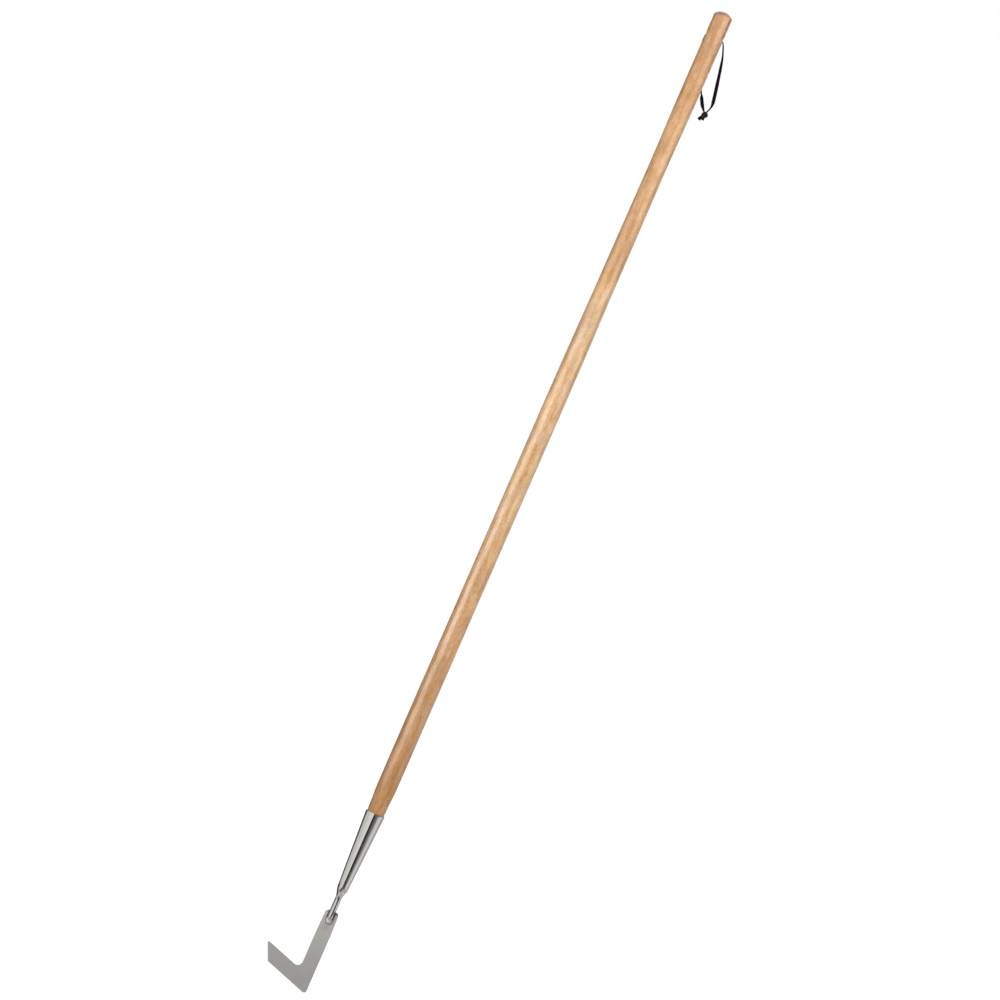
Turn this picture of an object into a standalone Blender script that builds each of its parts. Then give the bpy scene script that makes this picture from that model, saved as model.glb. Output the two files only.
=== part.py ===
"""Patio weeder: an ash pole, a rolled steel socket, a neck bar, an L-shaped blade and a leather loop.

The origin is the middle of the hanging hole. +Z runs up the pole, the blade lies in the XZ plane with its
hook towards -X, and -Y is the front, where the socket's seam and the weld are. Lengths are in metres.
"""
import math

import bmesh
import bpy
import numpy as np
from mathutils import Matrix, Vector

# Clearance between pieces that touch on the real tool.
GAP = 0.0003

# Pole: depths are measured down from the hole.
POLE_RISE = 0.0375          # top of the pole above the hole
GRIP_RADIUS = 0.0134
WAIST_RADIUS = 0.01255
PALM_RADIUS = 0.01310
SHAFT_RADIUS = 0.01425
GRIP_DEPTH = 0.090          # the grip keeps its size down to here
WAIST_DEPTH = 0.195
PALM_DEPTH = 0.365
SHAFT_DEPTH = 0.520
MOUTH_DEPTH = 1.1850        # mouth of the socket
TAPER_LENGTH = 0.041        # where the shaft starts to narrow, above the mouth
ENTRY_RADIUS = 0.0130       # pole just above the shoulder that enters the mouth
SHOULDER_LENGTH = 0.007
POLE_END_SPACE = 0.0192     # empty socket between the pole's end and the neck bar
INSERT_CHAMFER = 0.004
DOME_RADIUS = 0.0175         # the top is part of a sphere, with a small flat in its middle
DOME_FLAT_RADIUS = 0.0030
DOME_EDGE = 0.0006          # and a broken edge at its rim
POLE_SEGMENTS = 48
CURVE_STEPS = 6             # rings along each swell of the pole

# Hanging hole, drilled across the pole along X.
HOLE_RADIUS = 0.0030
COUNTERSINK = 0.0024

# Socket: a tapered tube rolled from sheet, with a shoulder at its narrow end.
SOCKET_WALL = 0.0015
SOCKET_MOUTH_RADIUS = 0.0142
SOCKET_NECK_RADIUS = 0.0081
SOCKET_CONE_LENGTH = 0.1127
SOCKET_SHOULDER_LENGTH = 0.0085
SEAM_GAP = 0.0013
SEAM_END_GAP = 0.0011               # the edges close up a little on the shoulder
SEAM_ANGLE = math.radians(1.0)      # from the front towards +X
SEAM_TURN = math.radians(27.0)      # the seam turns to the left across the shoulder
SEAM_TURN_RISE = 0.0018             # and starts to turn this far above the shoulder
LIP_RISE = 0.00035                  # the rolled edges stand a little proud
LIP_WIDTH = 0.0022
LIP_DROP = 0.0024                   # the right edge of the seam starts lower at the mouth
SOCKET_COLUMNS = 48
CONE_ROWS = 9
TURN_ROWS = 12

# Fixing screw, through the back of the socket.
SCREW_DEPTH = 0.026                 # below the mouth
SCREW_RADIUS = 0.0018
SCREW_LENGTH = 0.014
SCREW_HEAD_RADIUS = 0.0037
SCREW_HEAD_RISE = 0.0019

# Neck bar and the welds at its two ends.
BAR_RADIUS = 0.00455
BAR_TOP_INSIDE = 0.016              # bar above the narrow end of the socket
BAR_FREE_LENGTH = 0.0295            # from the narrow end of the socket to the top of the blade
BAR_LAP = 0.0113                    # bar on the face of the blade
BAR_FLAT = 0.0008                   # flat pressed where the bar meets the blade
BAR_CHAMFER = 0.0006
NECK_WELD_LENGTH = 0.0076
NECK_WELD_TOE = 0.0002
BEAD_SIDE = 0.0024                  # width of the bead beside the bar
BEAD_BELOW = 0.0074                 # and its reach below the bar's end
BEAD_HEIGHT = 0.0062                # above the face of the blade
BEAD_RISE = 0.0085                  # it runs this far up the sides of the bar, above the bar's end

# Blade: a strip in an L, with its cutting edges ground on the front.
STRIP_WIDTH = 0.0213
STRIP_OFFSET = 0.0004               # middle of the shank, to the right of the pole's axis
SHANK_TOP_WIDTH = 0.0195            # the shank narrows a little at its top
SHANK_TAPER_LENGTH = 0.034
SHANK_TAPER_RADIUS = 0.060
HOOK_WIDTH = 0.0220
STRIP_THICKNESS = 0.0030
SHANK_LENGTH = 0.1223               # from the top to the sharp corner of the heel
HOOK_LENGTH = 0.0703                # lower edge of the hook, between its sharp corners
HOOK_RISE = math.radians(18.3)
TIP_CUT = math.radians(23.7)        # end cut, from the direction of the shank
HEEL_RADIUS = 0.0040
CROOK_RADIUS = 0.0075
TOP_CORNER_RADIUS = 0.0048
TIP_LOWER_RADIUS = 0.0008
TIP_UPPER_RADIUS = 0.0015
EDGE_ROUND = 0.0004
GRIND_WIDTH = 0.0030
GRIND_LAND = 0.0014                 # thickness left at the ground edge

# Leather lace, as the round tube of about its section.
LACE_RADIUS = 0.0015
LACE_SPACING = 0.0035
KNOT_RADII = (0.0043, 0.0038, 0.0042)
KNOT_CENTRE = (0.0305, 0.0030, -0.1038)
LONG_TAIL = (-0.0063, -0.0012, -0.0089)
SHORT_TAIL = (-0.0007, 0.0014, -0.0077)

# Route of the right strand, from the middle of the hole to the knot.
RIGHT_ROUTE = (
    (0.00015, 0.0, -0.0012), (0.0070, 0.0, -0.0012), (0.0112, 0.0, -0.0012), (0.0141, 0.0, -0.0025),
    (0.0161, 0.0, -0.0056), (0.0184, 0.0, -0.0112), (0.0207, 0.0, -0.0172), (0.0232, 0.0, -0.0256),
    (0.0259, 0.0, -0.0378), (0.0285, 0.0001, -0.0504), (0.0311, 0.0003, -0.0630), (0.0336, 0.0005, -0.0757),
    (0.0351, 0.0008, -0.0843), (0.0355, 0.0011, -0.0888), (0.0348, 0.0015, -0.0935), (0.0328, 0.0020, -0.0985),
)

# Route of the left strand, which winds round the back of the pole on its way to the knot.
LEFT_ROUTE = (
    (-0.00015, 0.0, -0.0012), (-0.0066, 0.0, -0.0012), (-0.0104, 0.0, -0.0012), (-0.0135, 0.0008, -0.0019),
    (-0.0152, 0.0032, -0.0045), (-0.0146, 0.0060, -0.0082), (-0.0128, 0.0091, -0.0130),
    (-0.0088, 0.0130, -0.0225), (-0.0024, 0.0154, -0.0390), (0.0045, 0.0150, -0.0560),
    (0.0091, 0.0135, -0.0665), (0.0131, 0.0119, -0.0745), (0.0163, 0.0103, -0.0806),
    (0.0193, 0.0087, -0.0865), (0.0226, 0.0071, -0.0925), (0.0259, 0.0056, -0.0974), (0.0284, 0.0045, -0.1004),
)

# Values worked out from those above.
MOUTH_Z = -MOUTH_DEPTH
CONE_END_Z = MOUTH_Z - SOCKET_CONE_LENGTH
SOCKET_END_Z = CONE_END_Z - SOCKET_SHOULDER_LENGTH
SOCKET_END_RADIUS = BAR_RADIUS + GAP + SOCKET_WALL
INSERT_LENGTH = SOCKET_CONE_LENGTH + SOCKET_SHOULDER_LENGTH - BAR_TOP_INSIDE - POLE_END_SPACE
BLADE_TOP_Z = SOCKET_END_Z - BAR_FREE_LENGTH
HEEL_Z = BLADE_TOP_Z - SHANK_LENGTH
BAR_END_Z = BLADE_TOP_Z - BAR_LAP
BLADE_FRONT_Y = BAR_RADIUS - BAR_FLAT + GAP


def clear_scene():
    """Empties the scene, so that the model is the same each time it is built."""
    for old in list(bpy.data.objects):
        bpy.data.objects.remove(old, do_unlink=True)


def make_collection(name):
    """A collection linked to the scene."""
    group = bpy.data.collections.new(name)
    bpy.context.scene.collection.children.link(group)
    return group


def make_material(name, colour, roughness, metallic):
    """A Principled material of one colour."""
    material = bpy.data.materials.new(name)
    material.use_nodes = True
    shader = material.node_tree.nodes["Principled BSDF"]
    shader.inputs["Base Color"].default_value = (*colour, 1.0)
    shader.inputs["Roughness"].default_value = roughness
    shader.inputs["Metallic"].default_value = metallic
    return material


def add_piece(name, data, material, group):
    """An object of its own for one piece of the tool, at the origin."""
    piece = bpy.data.objects.new(name, data)
    data.materials.clear()
    data.materials.append(material)
    group.objects.link(piece)
    return piece


def ease(value, low, high):
    """Smooth step: 0 up to low, 1 from high, and a cubic between them."""
    share = min(max((value - low) / (high - low), 0.0), 1.0)
    return share * share * (3.0 - 2.0 * share)


def turn_profile(name, profile, segments, material, group):
    """A turned solid: the profile (radius, height), listed top to bottom, swept round the Z axis."""
    mesh = bpy.data.meshes.new(name)
    points = [(radius, 0.0, height) for radius, height in profile]
    closed = profile[0][0] > 0.0
    edges = [(i, i + 1) for i in range(len(points) - 1)]
    if closed:
        edges.append((len(points) - 1, 0))
    mesh.from_pydata(points, edges, [])
    piece = add_piece(name, mesh, material, group)
    screw = piece.modifiers.new("turn", "SCREW")
    screw.steps = segments
    screw.render_steps = segments
    screw.use_merge_vertices = True
    screw.merge_threshold = 0.00001
    screw.use_smooth_shade = True
    return piece


def cut(piece, cutter):
    """Cuts one piece by a cutter."""
    boolean = piece.modifiers.new("cut_" + cutter.name, "BOOLEAN")
    boolean.operation = "DIFFERENCE"
    boolean.solver = "EXACT"
    boolean.object = cutter


def hide_cutter(cutter):
    """Shows a cutter as wire and keeps it out of renders."""
    cutter.hide_render = True
    cutter.display_type = "WIRE"


def curve_to_mesh(curve_object, group):
    """Turns a curve's object into a closed mesh of the same name and place."""
    bpy.context.view_layer.update()
    evaluated = curve_object.evaluated_get(bpy.context.evaluated_depsgraph_get())
    mesh = bpy.data.meshes.new_from_object(evaluated)
    shape = bmesh.new()
    shape.from_mesh(mesh)
    bmesh.ops.remove_doubles(shape, verts=shape.verts, dist=0.000005)
    bmesh.ops.dissolve_limit(shape, angle_limit=math.radians(1.0), verts=shape.verts, edges=shape.edges)
    bmesh.ops.recalc_face_normals(shape, faces=shape.faces)
    shape.to_mesh(mesh)
    shape.free()
    name = curve_object.name
    material = curve_object.data.materials[0]
    matrix = curve_object.matrix_world.copy()
    bpy.data.objects.remove(curve_object, do_unlink=True)
    piece = add_piece(name, mesh, material, group)
    piece.matrix_world = matrix
    return piece


def socket_radius(depth):
    """Outer radius of the socket at a depth below its mouth: a straight cone that curls in at its end."""
    slope = (SOCKET_NECK_RADIUS - SOCKET_MOUTH_RADIUS) / SOCKET_CONE_LENGTH
    cone = SOCKET_MOUTH_RADIUS + slope * depth
    curl = max(depth - SOCKET_CONE_LENGTH, 0.0) / SOCKET_SHOULDER_LENGTH
    cone_end = SOCKET_NECK_RADIUS + slope * SOCKET_SHOULDER_LENGTH
    return cone + (SOCKET_END_RADIUS - cone_end) * curl ** 2


def pole_profile():
    """Profile of the pole, top to bottom: dome, grip, waist, palm swell, shaft, taper, shoulder, insert."""
    first = math.asin(DOME_FLAT_RADIUS / DOME_RADIUS)
    last = math.asin((GRIP_RADIUS - DOME_EDGE) / DOME_RADIUS)
    dome = []
    for i in range(7):
        angle = first + (last - first) * i / 6
        dome.append((DOME_RADIUS * math.sin(angle), POLE_RISE - DOME_RADIUS * (math.cos(first) - math.cos(angle))))
    dome.append((GRIP_RADIUS, dome[-1][1] - 1.6 * DOME_EDGE))
    stations = [
        (GRIP_DEPTH, GRIP_RADIUS), (WAIST_DEPTH, WAIST_RADIUS), (PALM_DEPTH, PALM_RADIUS),
        (SHAFT_DEPTH, SHAFT_RADIUS), (MOUTH_DEPTH - TAPER_LENGTH, SHAFT_RADIUS),
        (MOUTH_DEPTH - SHOULDER_LENGTH, ENTRY_RADIUS),
    ]
    body = [(GRIP_RADIUS, -GRIP_DEPTH)]
    for (above, r_above), (below, r_below) in zip(stations, stations[1:]):
        parts = 1 if r_above == r_below else CURVE_STEPS
        for i in range(1, parts + 1):
            depth = above + (below - above) * i / parts
            body.append((r_above + (r_below - r_above) * ease(depth, above, below), -depth))
    insert = []
    inner = SOCKET_WALL + GAP
    for depth in (0.0, INSERT_LENGTH - INSERT_CHAMFER):
        insert.append((socket_radius(depth) - inner, MOUTH_Z - depth))
    end_radius = socket_radius(INSERT_LENGTH) - inner - 0.6 * INSERT_CHAMFER
    insert.append((end_radius, MOUTH_Z - INSERT_LENGTH))
    return [(0.0, POLE_RISE)] + dome + body + insert + [(0.0, MOUTH_Z - INSERT_LENGTH)]


def make_hole_cutter(material, cutters):
    """The hanging hole across the pole, countersunk at both ends."""
    reach = GRIP_RADIUS + 0.002
    throat = GRIP_RADIUS - COUNTERSINK
    mouth = HOLE_RADIUS + (reach - throat)
    profile = [(0.0, reach), (mouth, reach), (HOLE_RADIUS, throat), (HOLE_RADIUS, -throat),
               (mouth, -reach), (0.0, -reach)]
    cutter = turn_profile("hole_cutter", profile, 32, material, cutters)
    cutter.rotation_euler = (0.0, math.radians(90.0), 0.0)
    hide_cutter(cutter)
    return cutter


def screw_seat_y():
    """Distance of the underside of the screw's head from the axis of the pole."""
    return socket_radius(SCREW_DEPTH) + GAP


def place_screw(piece):
    """Puts a turned shape on the screw's axis, its top pointing out of the back of the socket."""
    piece.location = (0.0, screw_seat_y(), MOUTH_Z - SCREW_DEPTH)
    piece.rotation_euler = (math.radians(-90.0), 0.0, 0.0)


def make_screw_cutter(material, cutters):
    """Clearance hole for the screw, through the wall of the socket and into the pole."""
    radius = SCREW_RADIUS + GAP
    profile = [(0.0, 0.003), (radius, 0.003), (radius, -SCREW_LENGTH - GAP), (0.0, -SCREW_LENGTH - GAP)]
    cutter = turn_profile("screw_cutter", profile, 20, material, cutters)
    place_screw(cutter)
    hide_cutter(cutter)
    return cutter


def make_screw(material, group):
    """Round-headed screw, with its head on the socket and its shank in the pole."""
    profile = [(0.0, SCREW_HEAD_RISE)]
    for i in range(1, 7):
        angle = math.radians(90.0 * i / 6)
        profile.append((SCREW_HEAD_RADIUS * math.sin(angle),
                        0.0004 + (SCREW_HEAD_RISE - 0.0004) * math.cos(angle)))
    profile += [(SCREW_HEAD_RADIUS, 0.0), (SCREW_RADIUS, 0.0), (SCREW_RADIUS, -SCREW_LENGTH + 0.003),
                (0.0, -SCREW_LENGTH)]
    screw = turn_profile("fixing_screw", profile, 28, material, group)
    place_screw(screw)
    return screw


def seam_turn(depth):
    """Share of the seam's turn at a depth below the mouth: 0 down the cone, 1 at the narrow end."""
    return ease(depth, SOCKET_CONE_LENGTH - SEAM_TURN_RISE, SOCKET_CONE_LENGTH + SOCKET_SHOULDER_LENGTH)


def socket_depth(row):
    """Depth below the mouth of a row of the socket: long steps down the cone, short ones at the turn."""
    turn_start = SOCKET_CONE_LENGTH - SEAM_TURN_RISE
    if row <= CONE_ROWS:
        return turn_start * row / CONE_ROWS
    return turn_start + (SEAM_TURN_RISE + SOCKET_SHOULDER_LENGTH) * (row - CONE_ROWS) / TURN_ROWS


def make_socket(material, group):
    """A flat grid rolled into a tapered tube: its left and right edges meet at the seam, a gap apart."""
    rows = CONE_ROWS + TURN_ROWS
    shape = bmesh.new()
    bmesh.ops.create_grid(shape, x_segments=SOCKET_COLUMNS, y_segments=rows, size=0.5)
    for vertex in shape.verts:
        share = vertex.co.x + 0.5
        around = share - math.sin(2.0 * math.pi * share) / (4.0 * math.pi)
        row = (0.5 - vertex.co.y) * rows
        depth = socket_depth(row)
        radius = socket_radius(depth)
        turned = seam_turn(depth)
        half_gap = 0.5 * (SEAM_GAP + (SEAM_END_GAP - SEAM_GAP) * turned) / radius
        angle = SEAM_ANGLE - SEAM_TURN * turned + half_gap + around * (2.0 * math.pi - 2.0 * half_gap)
        from_edge = min(around, 1.0 - around) * 2.0 * math.pi * radius
        radius += LIP_RISE * (1.0 - turned) * math.exp(-(from_edge / LIP_WIDTH) ** 2)
        drop = LIP_DROP * max(1.0 - 4.0 * around, 0.0) ** 1.5 * max(1.0 - row, 0.0)
        vertex.co = Vector((radius * math.sin(angle), -radius * math.cos(angle), MOUTH_Z - depth - drop))
    mesh = bpy.data.meshes.new("socket")
    shape.to_mesh(mesh)
    shape.free()
    mesh.shade_smooth()
    socket = add_piece("socket", mesh, material, group)
    wall = socket.modifiers.new("wall", "SOLIDIFY")
    wall.thickness = SOCKET_WALL
    wall.offset = -1.0
    wall.use_even_offset = True
    return socket


def bar_profile(clearance):
    """Profile of the round bar with its domed lower end, grown by a clearance all round."""
    radius = BAR_RADIUS + clearance
    top = SOCKET_END_Z + BAR_TOP_INSIDE + clearance
    profile = [(0.0, top), (radius - BAR_CHAMFER, top), (radius, top - BAR_CHAMFER)]
    for i in range(9):
        angle = math.radians(90.0 * i / 8)
        profile.append((radius * math.cos(angle), BAR_END_Z + BAR_RADIUS - radius * math.sin(angle)))
    profile[-1] = (0.0, BAR_END_Z - clearance)
    return profile


def make_block(name, size, centre, cutters):
    """A rectangular cutter."""
    shape = bmesh.new()
    bmesh.ops.create_cube(shape, size=1.0)
    bmesh.ops.scale(shape, vec=size, verts=shape.verts)
    mesh = bpy.data.meshes.new(name)
    shape.to_mesh(mesh)
    shape.free()
    block = bpy.data.objects.new(name, mesh)
    block.location = centre
    cutters.objects.link(block)
    hide_cutter(block)
    return block


def make_neck_bar(material, group, cutters):
    """Round bar, flattened at the back where it lies on the blade."""
    bar = turn_profile("neck_bar", bar_profile(0.0), 36, material, group)
    height = BAR_LAP + 2.0 * BAR_RADIUS
    flat_y = BAR_RADIUS - BAR_FLAT
    flat_top = BLADE_TOP_Z + BAR_FLAT
    cut(bar, make_block("lap_flat_cutter", (4.0 * BAR_RADIUS, BAR_RADIUS, height),
                        (0.0, flat_y + 0.5 * BAR_RADIUS, flat_top - 0.5 * height), cutters))
    return bar


def make_neck_weld(material, group):
    """Ground weld round the bar: a ring that fills the step from the sheet's end down to the bar."""
    inner = BAR_RADIUS + GAP
    top = SOCKET_END_Z - GAP
    bottom = top - NECK_WELD_LENGTH
    profile = [(inner, top)]
    steps = 6
    for i in range(steps + 1):
        share = i / steps
        radius = inner + NECK_WELD_TOE + (SOCKET_END_RADIUS - inner - NECK_WELD_TOE) * (1.0 - share) ** 1.3
        profile.append((radius, top + (bottom - top) * share))
    profile.append((inner, bottom))
    return turn_profile("neck_weld", profile, 36, material, group)


def rounded_outline(corners, radii, arc_step=math.radians(7.5)):
    """Outline through the corners, listed in order, with a round arc of the given radius at each."""
    points = []
    count = len(corners)
    for i in range(count):
        here = Vector(corners[i])
        before = (Vector(corners[i - 1]) - here).normalized()
        after = (Vector(corners[(i + 1) % count]) - here).normalized()
        half = 0.5 * before.angle(after)
        centre = here + (before + after).normalized() * radii[i] / math.sin(half)
        start = here + before * radii[i] / math.tan(half) - centre
        end = here + after * radii[i] / math.tan(half) - centre
        sweep = start.angle_signed(end)
        steps = max(2, math.ceil(abs(sweep) / arc_step))
        for k in range(steps + 1):
            points.append(centre + Matrix.Rotation(-sweep * k / steps, 2) @ start)
    return points


def blade_corners():
    """Sharp corners of the blade in its own plane, from the top left round to the start of the taper there."""
    left = STRIP_OFFSET - 0.5 * STRIP_WIDTH
    right = STRIP_OFFSET + 0.5 * STRIP_WIDTH
    narrow = 0.5 * (STRIP_WIDTH - SHANK_TOP_WIDTH)
    taper_z = BLADE_TOP_Z - SHANK_TAPER_LENGTH
    along = Vector((-math.cos(HOOK_RISE), math.sin(HOOK_RISE)))
    heel = Vector((right, HEEL_Z))
    tip_lower = heel + along * HOOK_LENGTH
    cut_length = HOOK_WIDTH / math.cos(TIP_CUT + HOOK_RISE)
    tip_upper = tip_lower + Vector((-math.sin(TIP_CUT), math.cos(TIP_CUT))) * cut_length
    crook = Vector((left, tip_upper.y + (tip_upper.x - left) * math.tan(HOOK_RISE)))
    return [Vector((left + narrow, BLADE_TOP_Z)), Vector((right - narrow, BLADE_TOP_Z)), Vector((right, taper_z)),
            heel, tip_lower, tip_upper, crook, Vector((left, taper_z))]


def make_grind_cutter(name, start, end, cutters):
    """A block whose underside is the ground face along the edge from start to end, seen from the front."""
    edge = Vector((end.x - start.x, 0.0, end.y - start.y))
    length = edge.length
    edge.normalize()
    inward = Vector((edge.z, 0.0, -edge.x))
    depth = STRIP_THICKNESS - GRIND_LAND
    slope = (inward * -GRIND_WIDTH + Vector((0.0, depth, 0.0))).normalized()
    outward = edge.cross(slope)
    if outward.y > 0.0:
        outward.negate()
    middle = Vector((0.5 * (start.x + end.x), BLADE_FRONT_Y, 0.5 * (start.y + end.y))) + inward * GRIND_WIDTH
    block_height = 0.006
    block_width = 0.030
    shape = bmesh.new()
    bmesh.ops.create_cube(shape, size=1.0)
    scale = Matrix.Diagonal((length + 0.020, block_width, block_height, 1.0))
    turn = Matrix((edge, outward.cross(edge), outward)).transposed().to_4x4()
    place = Matrix.Translation(middle + outward * 0.5 * block_height)
    bmesh.ops.transform(shape, matrix=place @ turn @ scale, verts=shape.verts)
    mesh = bpy.data.meshes.new(name)
    shape.to_mesh(mesh)
    shape.free()
    cutter = bpy.data.objects.new(name, mesh)
    cutters.objects.link(cutter)
    hide_cutter(cutter)
    return cutter


def make_blade(material, group, cutters):
    """Strip cut to an L outline, with rounded rims and two edges ground on the front."""
    corners = blade_corners()
    radii = [TOP_CORNER_RADIUS, TOP_CORNER_RADIUS, SHANK_TAPER_RADIUS, HEEL_RADIUS, TIP_LOWER_RADIUS,
             TIP_UPPER_RADIUS, CROOK_RADIUS, SHANK_TAPER_RADIUS]
    outline = rounded_outline(corners, radii)
    curve = bpy.data.curves.new("blade", "CURVE")
    curve.dimensions = "2D"
    curve.fill_mode = "BOTH"
    curve.extrude = 0.5 * STRIP_THICKNESS
    spline = curve.splines.new("POLY")
    spline.points.add(len(outline) - 1)
    for point, (x, z) in zip(spline.points, outline):
        point.co = (x, z, 0.0, 1.0)
    spline.use_cyclic_u = True
    blade = add_piece("blade", curve, material, group)
    blade.rotation_euler = (math.radians(90.0), 0.0, 0.0)
    blade.location = (0.0, BLADE_FRONT_Y + 0.5 * STRIP_THICKNESS, 0.0)
    blade = curve_to_mesh(blade, group)
    rim = blade.modifiers.new("rim", "BEVEL")
    rim.width = EDGE_ROUND
    rim.segments = 2
    rim.limit_method = "ANGLE"
    rim.angle_limit = math.radians(40.0)
    heel, tip_lower, tip_upper = corners[3:6]
    cut(blade, make_grind_cutter("hook_grind_cutter", heel, tip_lower, cutters))
    cut(blade, make_grind_cutter("tip_grind_cutter", tip_lower, tip_upper, cutters))
    return blade


def make_blade_weld(material, group, cutters):
    """Weld round the bar's end: a low mound on the blade, hollowed by the bar that lies in it."""
    top = BAR_END_Z + BEAD_RISE
    bottom = BAR_END_Z - BEAD_BELOW
    height = 0.5 * (top - bottom)
    half_width = BAR_RADIUS + BEAD_SIDE
    shape = bmesh.new()
    bmesh.ops.create_uvsphere(shape, u_segments=32, v_segments=20, radius=1.0)
    bmesh.ops.scale(shape, vec=(half_width, BEAD_HEIGHT, height), verts=shape.verts)
    bmesh.ops.translate(shape, vec=(0.0, BLADE_FRONT_Y, 0.5 * (top + bottom)), verts=shape.verts)
    mesh = bpy.data.meshes.new("blade_weld")
    shape.to_mesh(mesh)
    shape.free()
    mesh.shade_smooth()
    weld = add_piece("blade_weld", mesh, material, group)
    groove = turn_profile("weld_groove_cutter", bar_profile(GAP), 36, material, cutters)
    hide_cutter(groove)
    cut(weld, groove)
    reach = 4.0 * half_width
    cut(weld, make_block("weld_face_cutter", (reach, reach, reach),
                         (0.0, BLADE_FRONT_Y - GAP + 0.5 * reach, BAR_END_Z), cutters))
    return weld


def smooth_route(route, spacing):
    """Points at equal spacing along the smooth (Catmull-Rom) curve through the route's own points."""
    knots = np.array(route)
    padded = np.vstack([2 * knots[0] - knots[1], knots, 2 * knots[-1] - knots[-2]])
    dense = []
    for i in range(len(knots) - 1):
        a, b, c, d = padded[i:i + 4]
        for t in np.linspace(0.0, 1.0, 16, endpoint=False):
            dense.append(0.5 * (2 * b + (c - a) * t + (2 * a - 5 * b + 4 * c - d) * t ** 2
                                + (3 * b - a - 3 * c + d) * t ** 3))
    dense = np.array(dense + [knots[-1]])
    along = np.concatenate([[0.0], np.cumsum(np.linalg.norm(np.diff(dense, axis=0), axis=1))])
    count = max(2, int(round(along[-1] / spacing)) + 1)
    wanted = np.linspace(0.0, along[-1], count)
    return np.stack([np.interp(wanted, along, dense[:, k]) for k in range(3)], axis=1)


def make_tube(name, points, radius, material, group):
    """A round tube with flat ends along the points."""
    curve = bpy.data.curves.new(name, "CURVE")
    curve.dimensions = "3D"
    curve.bevel_depth = radius
    curve.bevel_resolution = 2
    curve.use_fill_caps = True
    spline = curve.splines.new("POLY")
    spline.points.add(len(points) - 1)
    for point, place in zip(spline.points, points):
        point.co = (*place, 1.0)
    return add_piece(name, curve, material, group)


def make_knot(material, group, cutters):
    """The knot as a squat ball, with the two tails of the lace coming out of it."""
    centre = Vector(KNOT_CENTRE)
    mesh = bpy.data.meshes.new("thong_knot")
    shape = bmesh.new()
    bmesh.ops.create_uvsphere(shape, u_segments=20, v_segments=12, radius=1.0)
    bmesh.ops.scale(shape, vec=KNOT_RADII, verts=shape.verts)
    bmesh.ops.translate(shape, vec=centre, verts=shape.verts)
    shape.to_mesh(mesh)
    shape.free()
    mesh.shade_smooth()
    knot = add_piece("thong_knot", mesh, material, group)
    for name, reach in (("long_tail_shape", LONG_TAIL), ("short_tail_shape", SHORT_TAIL)):
        tail = Vector(reach)
        points = [centre + tail * share for share in (0.15, 0.6, 1.0)]
        tube = curve_to_mesh(make_tube(name, points, LACE_RADIUS, material, cutters), cutters)
        hide_cutter(tube)
        union = knot.modifiers.new(name, "BOOLEAN")
        union.operation = "UNION"
        union.solver = "EXACT"
        union.object = tube
    return knot


def build():
    """Builds the whole tool."""
    clear_scene()
    tool = make_collection("patio_weeder")
    cutters = make_collection("cutters")

    ash = make_material("lacquered_ash", (0.60, 0.38, 0.19), 0.42, 0.0)
    polished = make_material("polished_steel", (0.60, 0.59, 0.57), 0.22, 1.0)
    satin = make_material("satin_steel", (0.40, 0.38, 0.36), 0.45, 1.0)
    weld = make_material("weld_steel", (0.45, 0.43, 0.41), 0.38, 1.0)
    screw_steel = make_material("screw_steel", (0.55, 0.54, 0.52), 0.30, 1.0)
    leather = make_material("dark_leather", (0.020, 0.010, 0.009), 0.55, 0.0)

    pole = turn_profile("handle", pole_profile(), POLE_SEGMENTS, ash, tool)
    screw_cutter = make_screw_cutter(polished, cutters)
    cut(pole, make_hole_cutter(ash, cutters))
    cut(pole, screw_cutter)
    socket = make_socket(polished, tool)
    cut(socket, screw_cutter)
    make_screw(screw_steel, tool)
    make_neck_bar(polished, tool, cutters)
    make_neck_weld(weld, tool)
    make_blade(satin, tool, cutters)
    make_blade_weld(weld, tool, cutters)

    pivot = bpy.data.objects.new("loop_pivot", None)
    tool.objects.link(pivot)
    right = make_tube("thong_right", smooth_route(RIGHT_ROUTE, LACE_SPACING), LACE_RADIUS, leather, tool)
    left = make_tube("thong_left", smooth_route(LEFT_ROUTE, LACE_SPACING), LACE_RADIUS, leather, tool)
    knot = make_knot(leather, tool, cutters)
    for piece in (right, left, knot):
        piece.parent = pivot


build()
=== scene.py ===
"""Looks of a patio weeder: turned ash pole, polished socket, neck bar, satin blade, welds, leather loop.

The frame is the model's own: metres, +Z up the pole, the blade in the XZ plane with its hook towards -X,
and the socket's seam at the front, towards -Y. Each piece below is made at its place in that frame.
"""
import math

import bpy
import numpy as np
from mathutils import Matrix, Vector


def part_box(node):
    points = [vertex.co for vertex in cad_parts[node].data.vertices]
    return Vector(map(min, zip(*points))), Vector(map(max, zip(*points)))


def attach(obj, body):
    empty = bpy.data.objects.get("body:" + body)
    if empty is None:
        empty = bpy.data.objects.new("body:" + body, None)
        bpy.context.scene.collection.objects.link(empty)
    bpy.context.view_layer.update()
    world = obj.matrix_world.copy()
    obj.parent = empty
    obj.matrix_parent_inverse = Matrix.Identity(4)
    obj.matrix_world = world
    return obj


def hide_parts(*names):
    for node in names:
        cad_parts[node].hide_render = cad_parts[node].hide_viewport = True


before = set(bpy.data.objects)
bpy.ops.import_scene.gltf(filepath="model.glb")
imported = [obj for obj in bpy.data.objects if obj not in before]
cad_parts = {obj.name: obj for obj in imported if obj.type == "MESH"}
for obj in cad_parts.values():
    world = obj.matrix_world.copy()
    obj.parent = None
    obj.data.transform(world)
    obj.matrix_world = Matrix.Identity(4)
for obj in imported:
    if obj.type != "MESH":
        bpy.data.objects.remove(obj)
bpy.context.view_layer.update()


# Pole
# A round ash pole, turned to a slim waist below the grip, lacquered, and drilled across near its top.
# Its lower end tapers into the socket.

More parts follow.
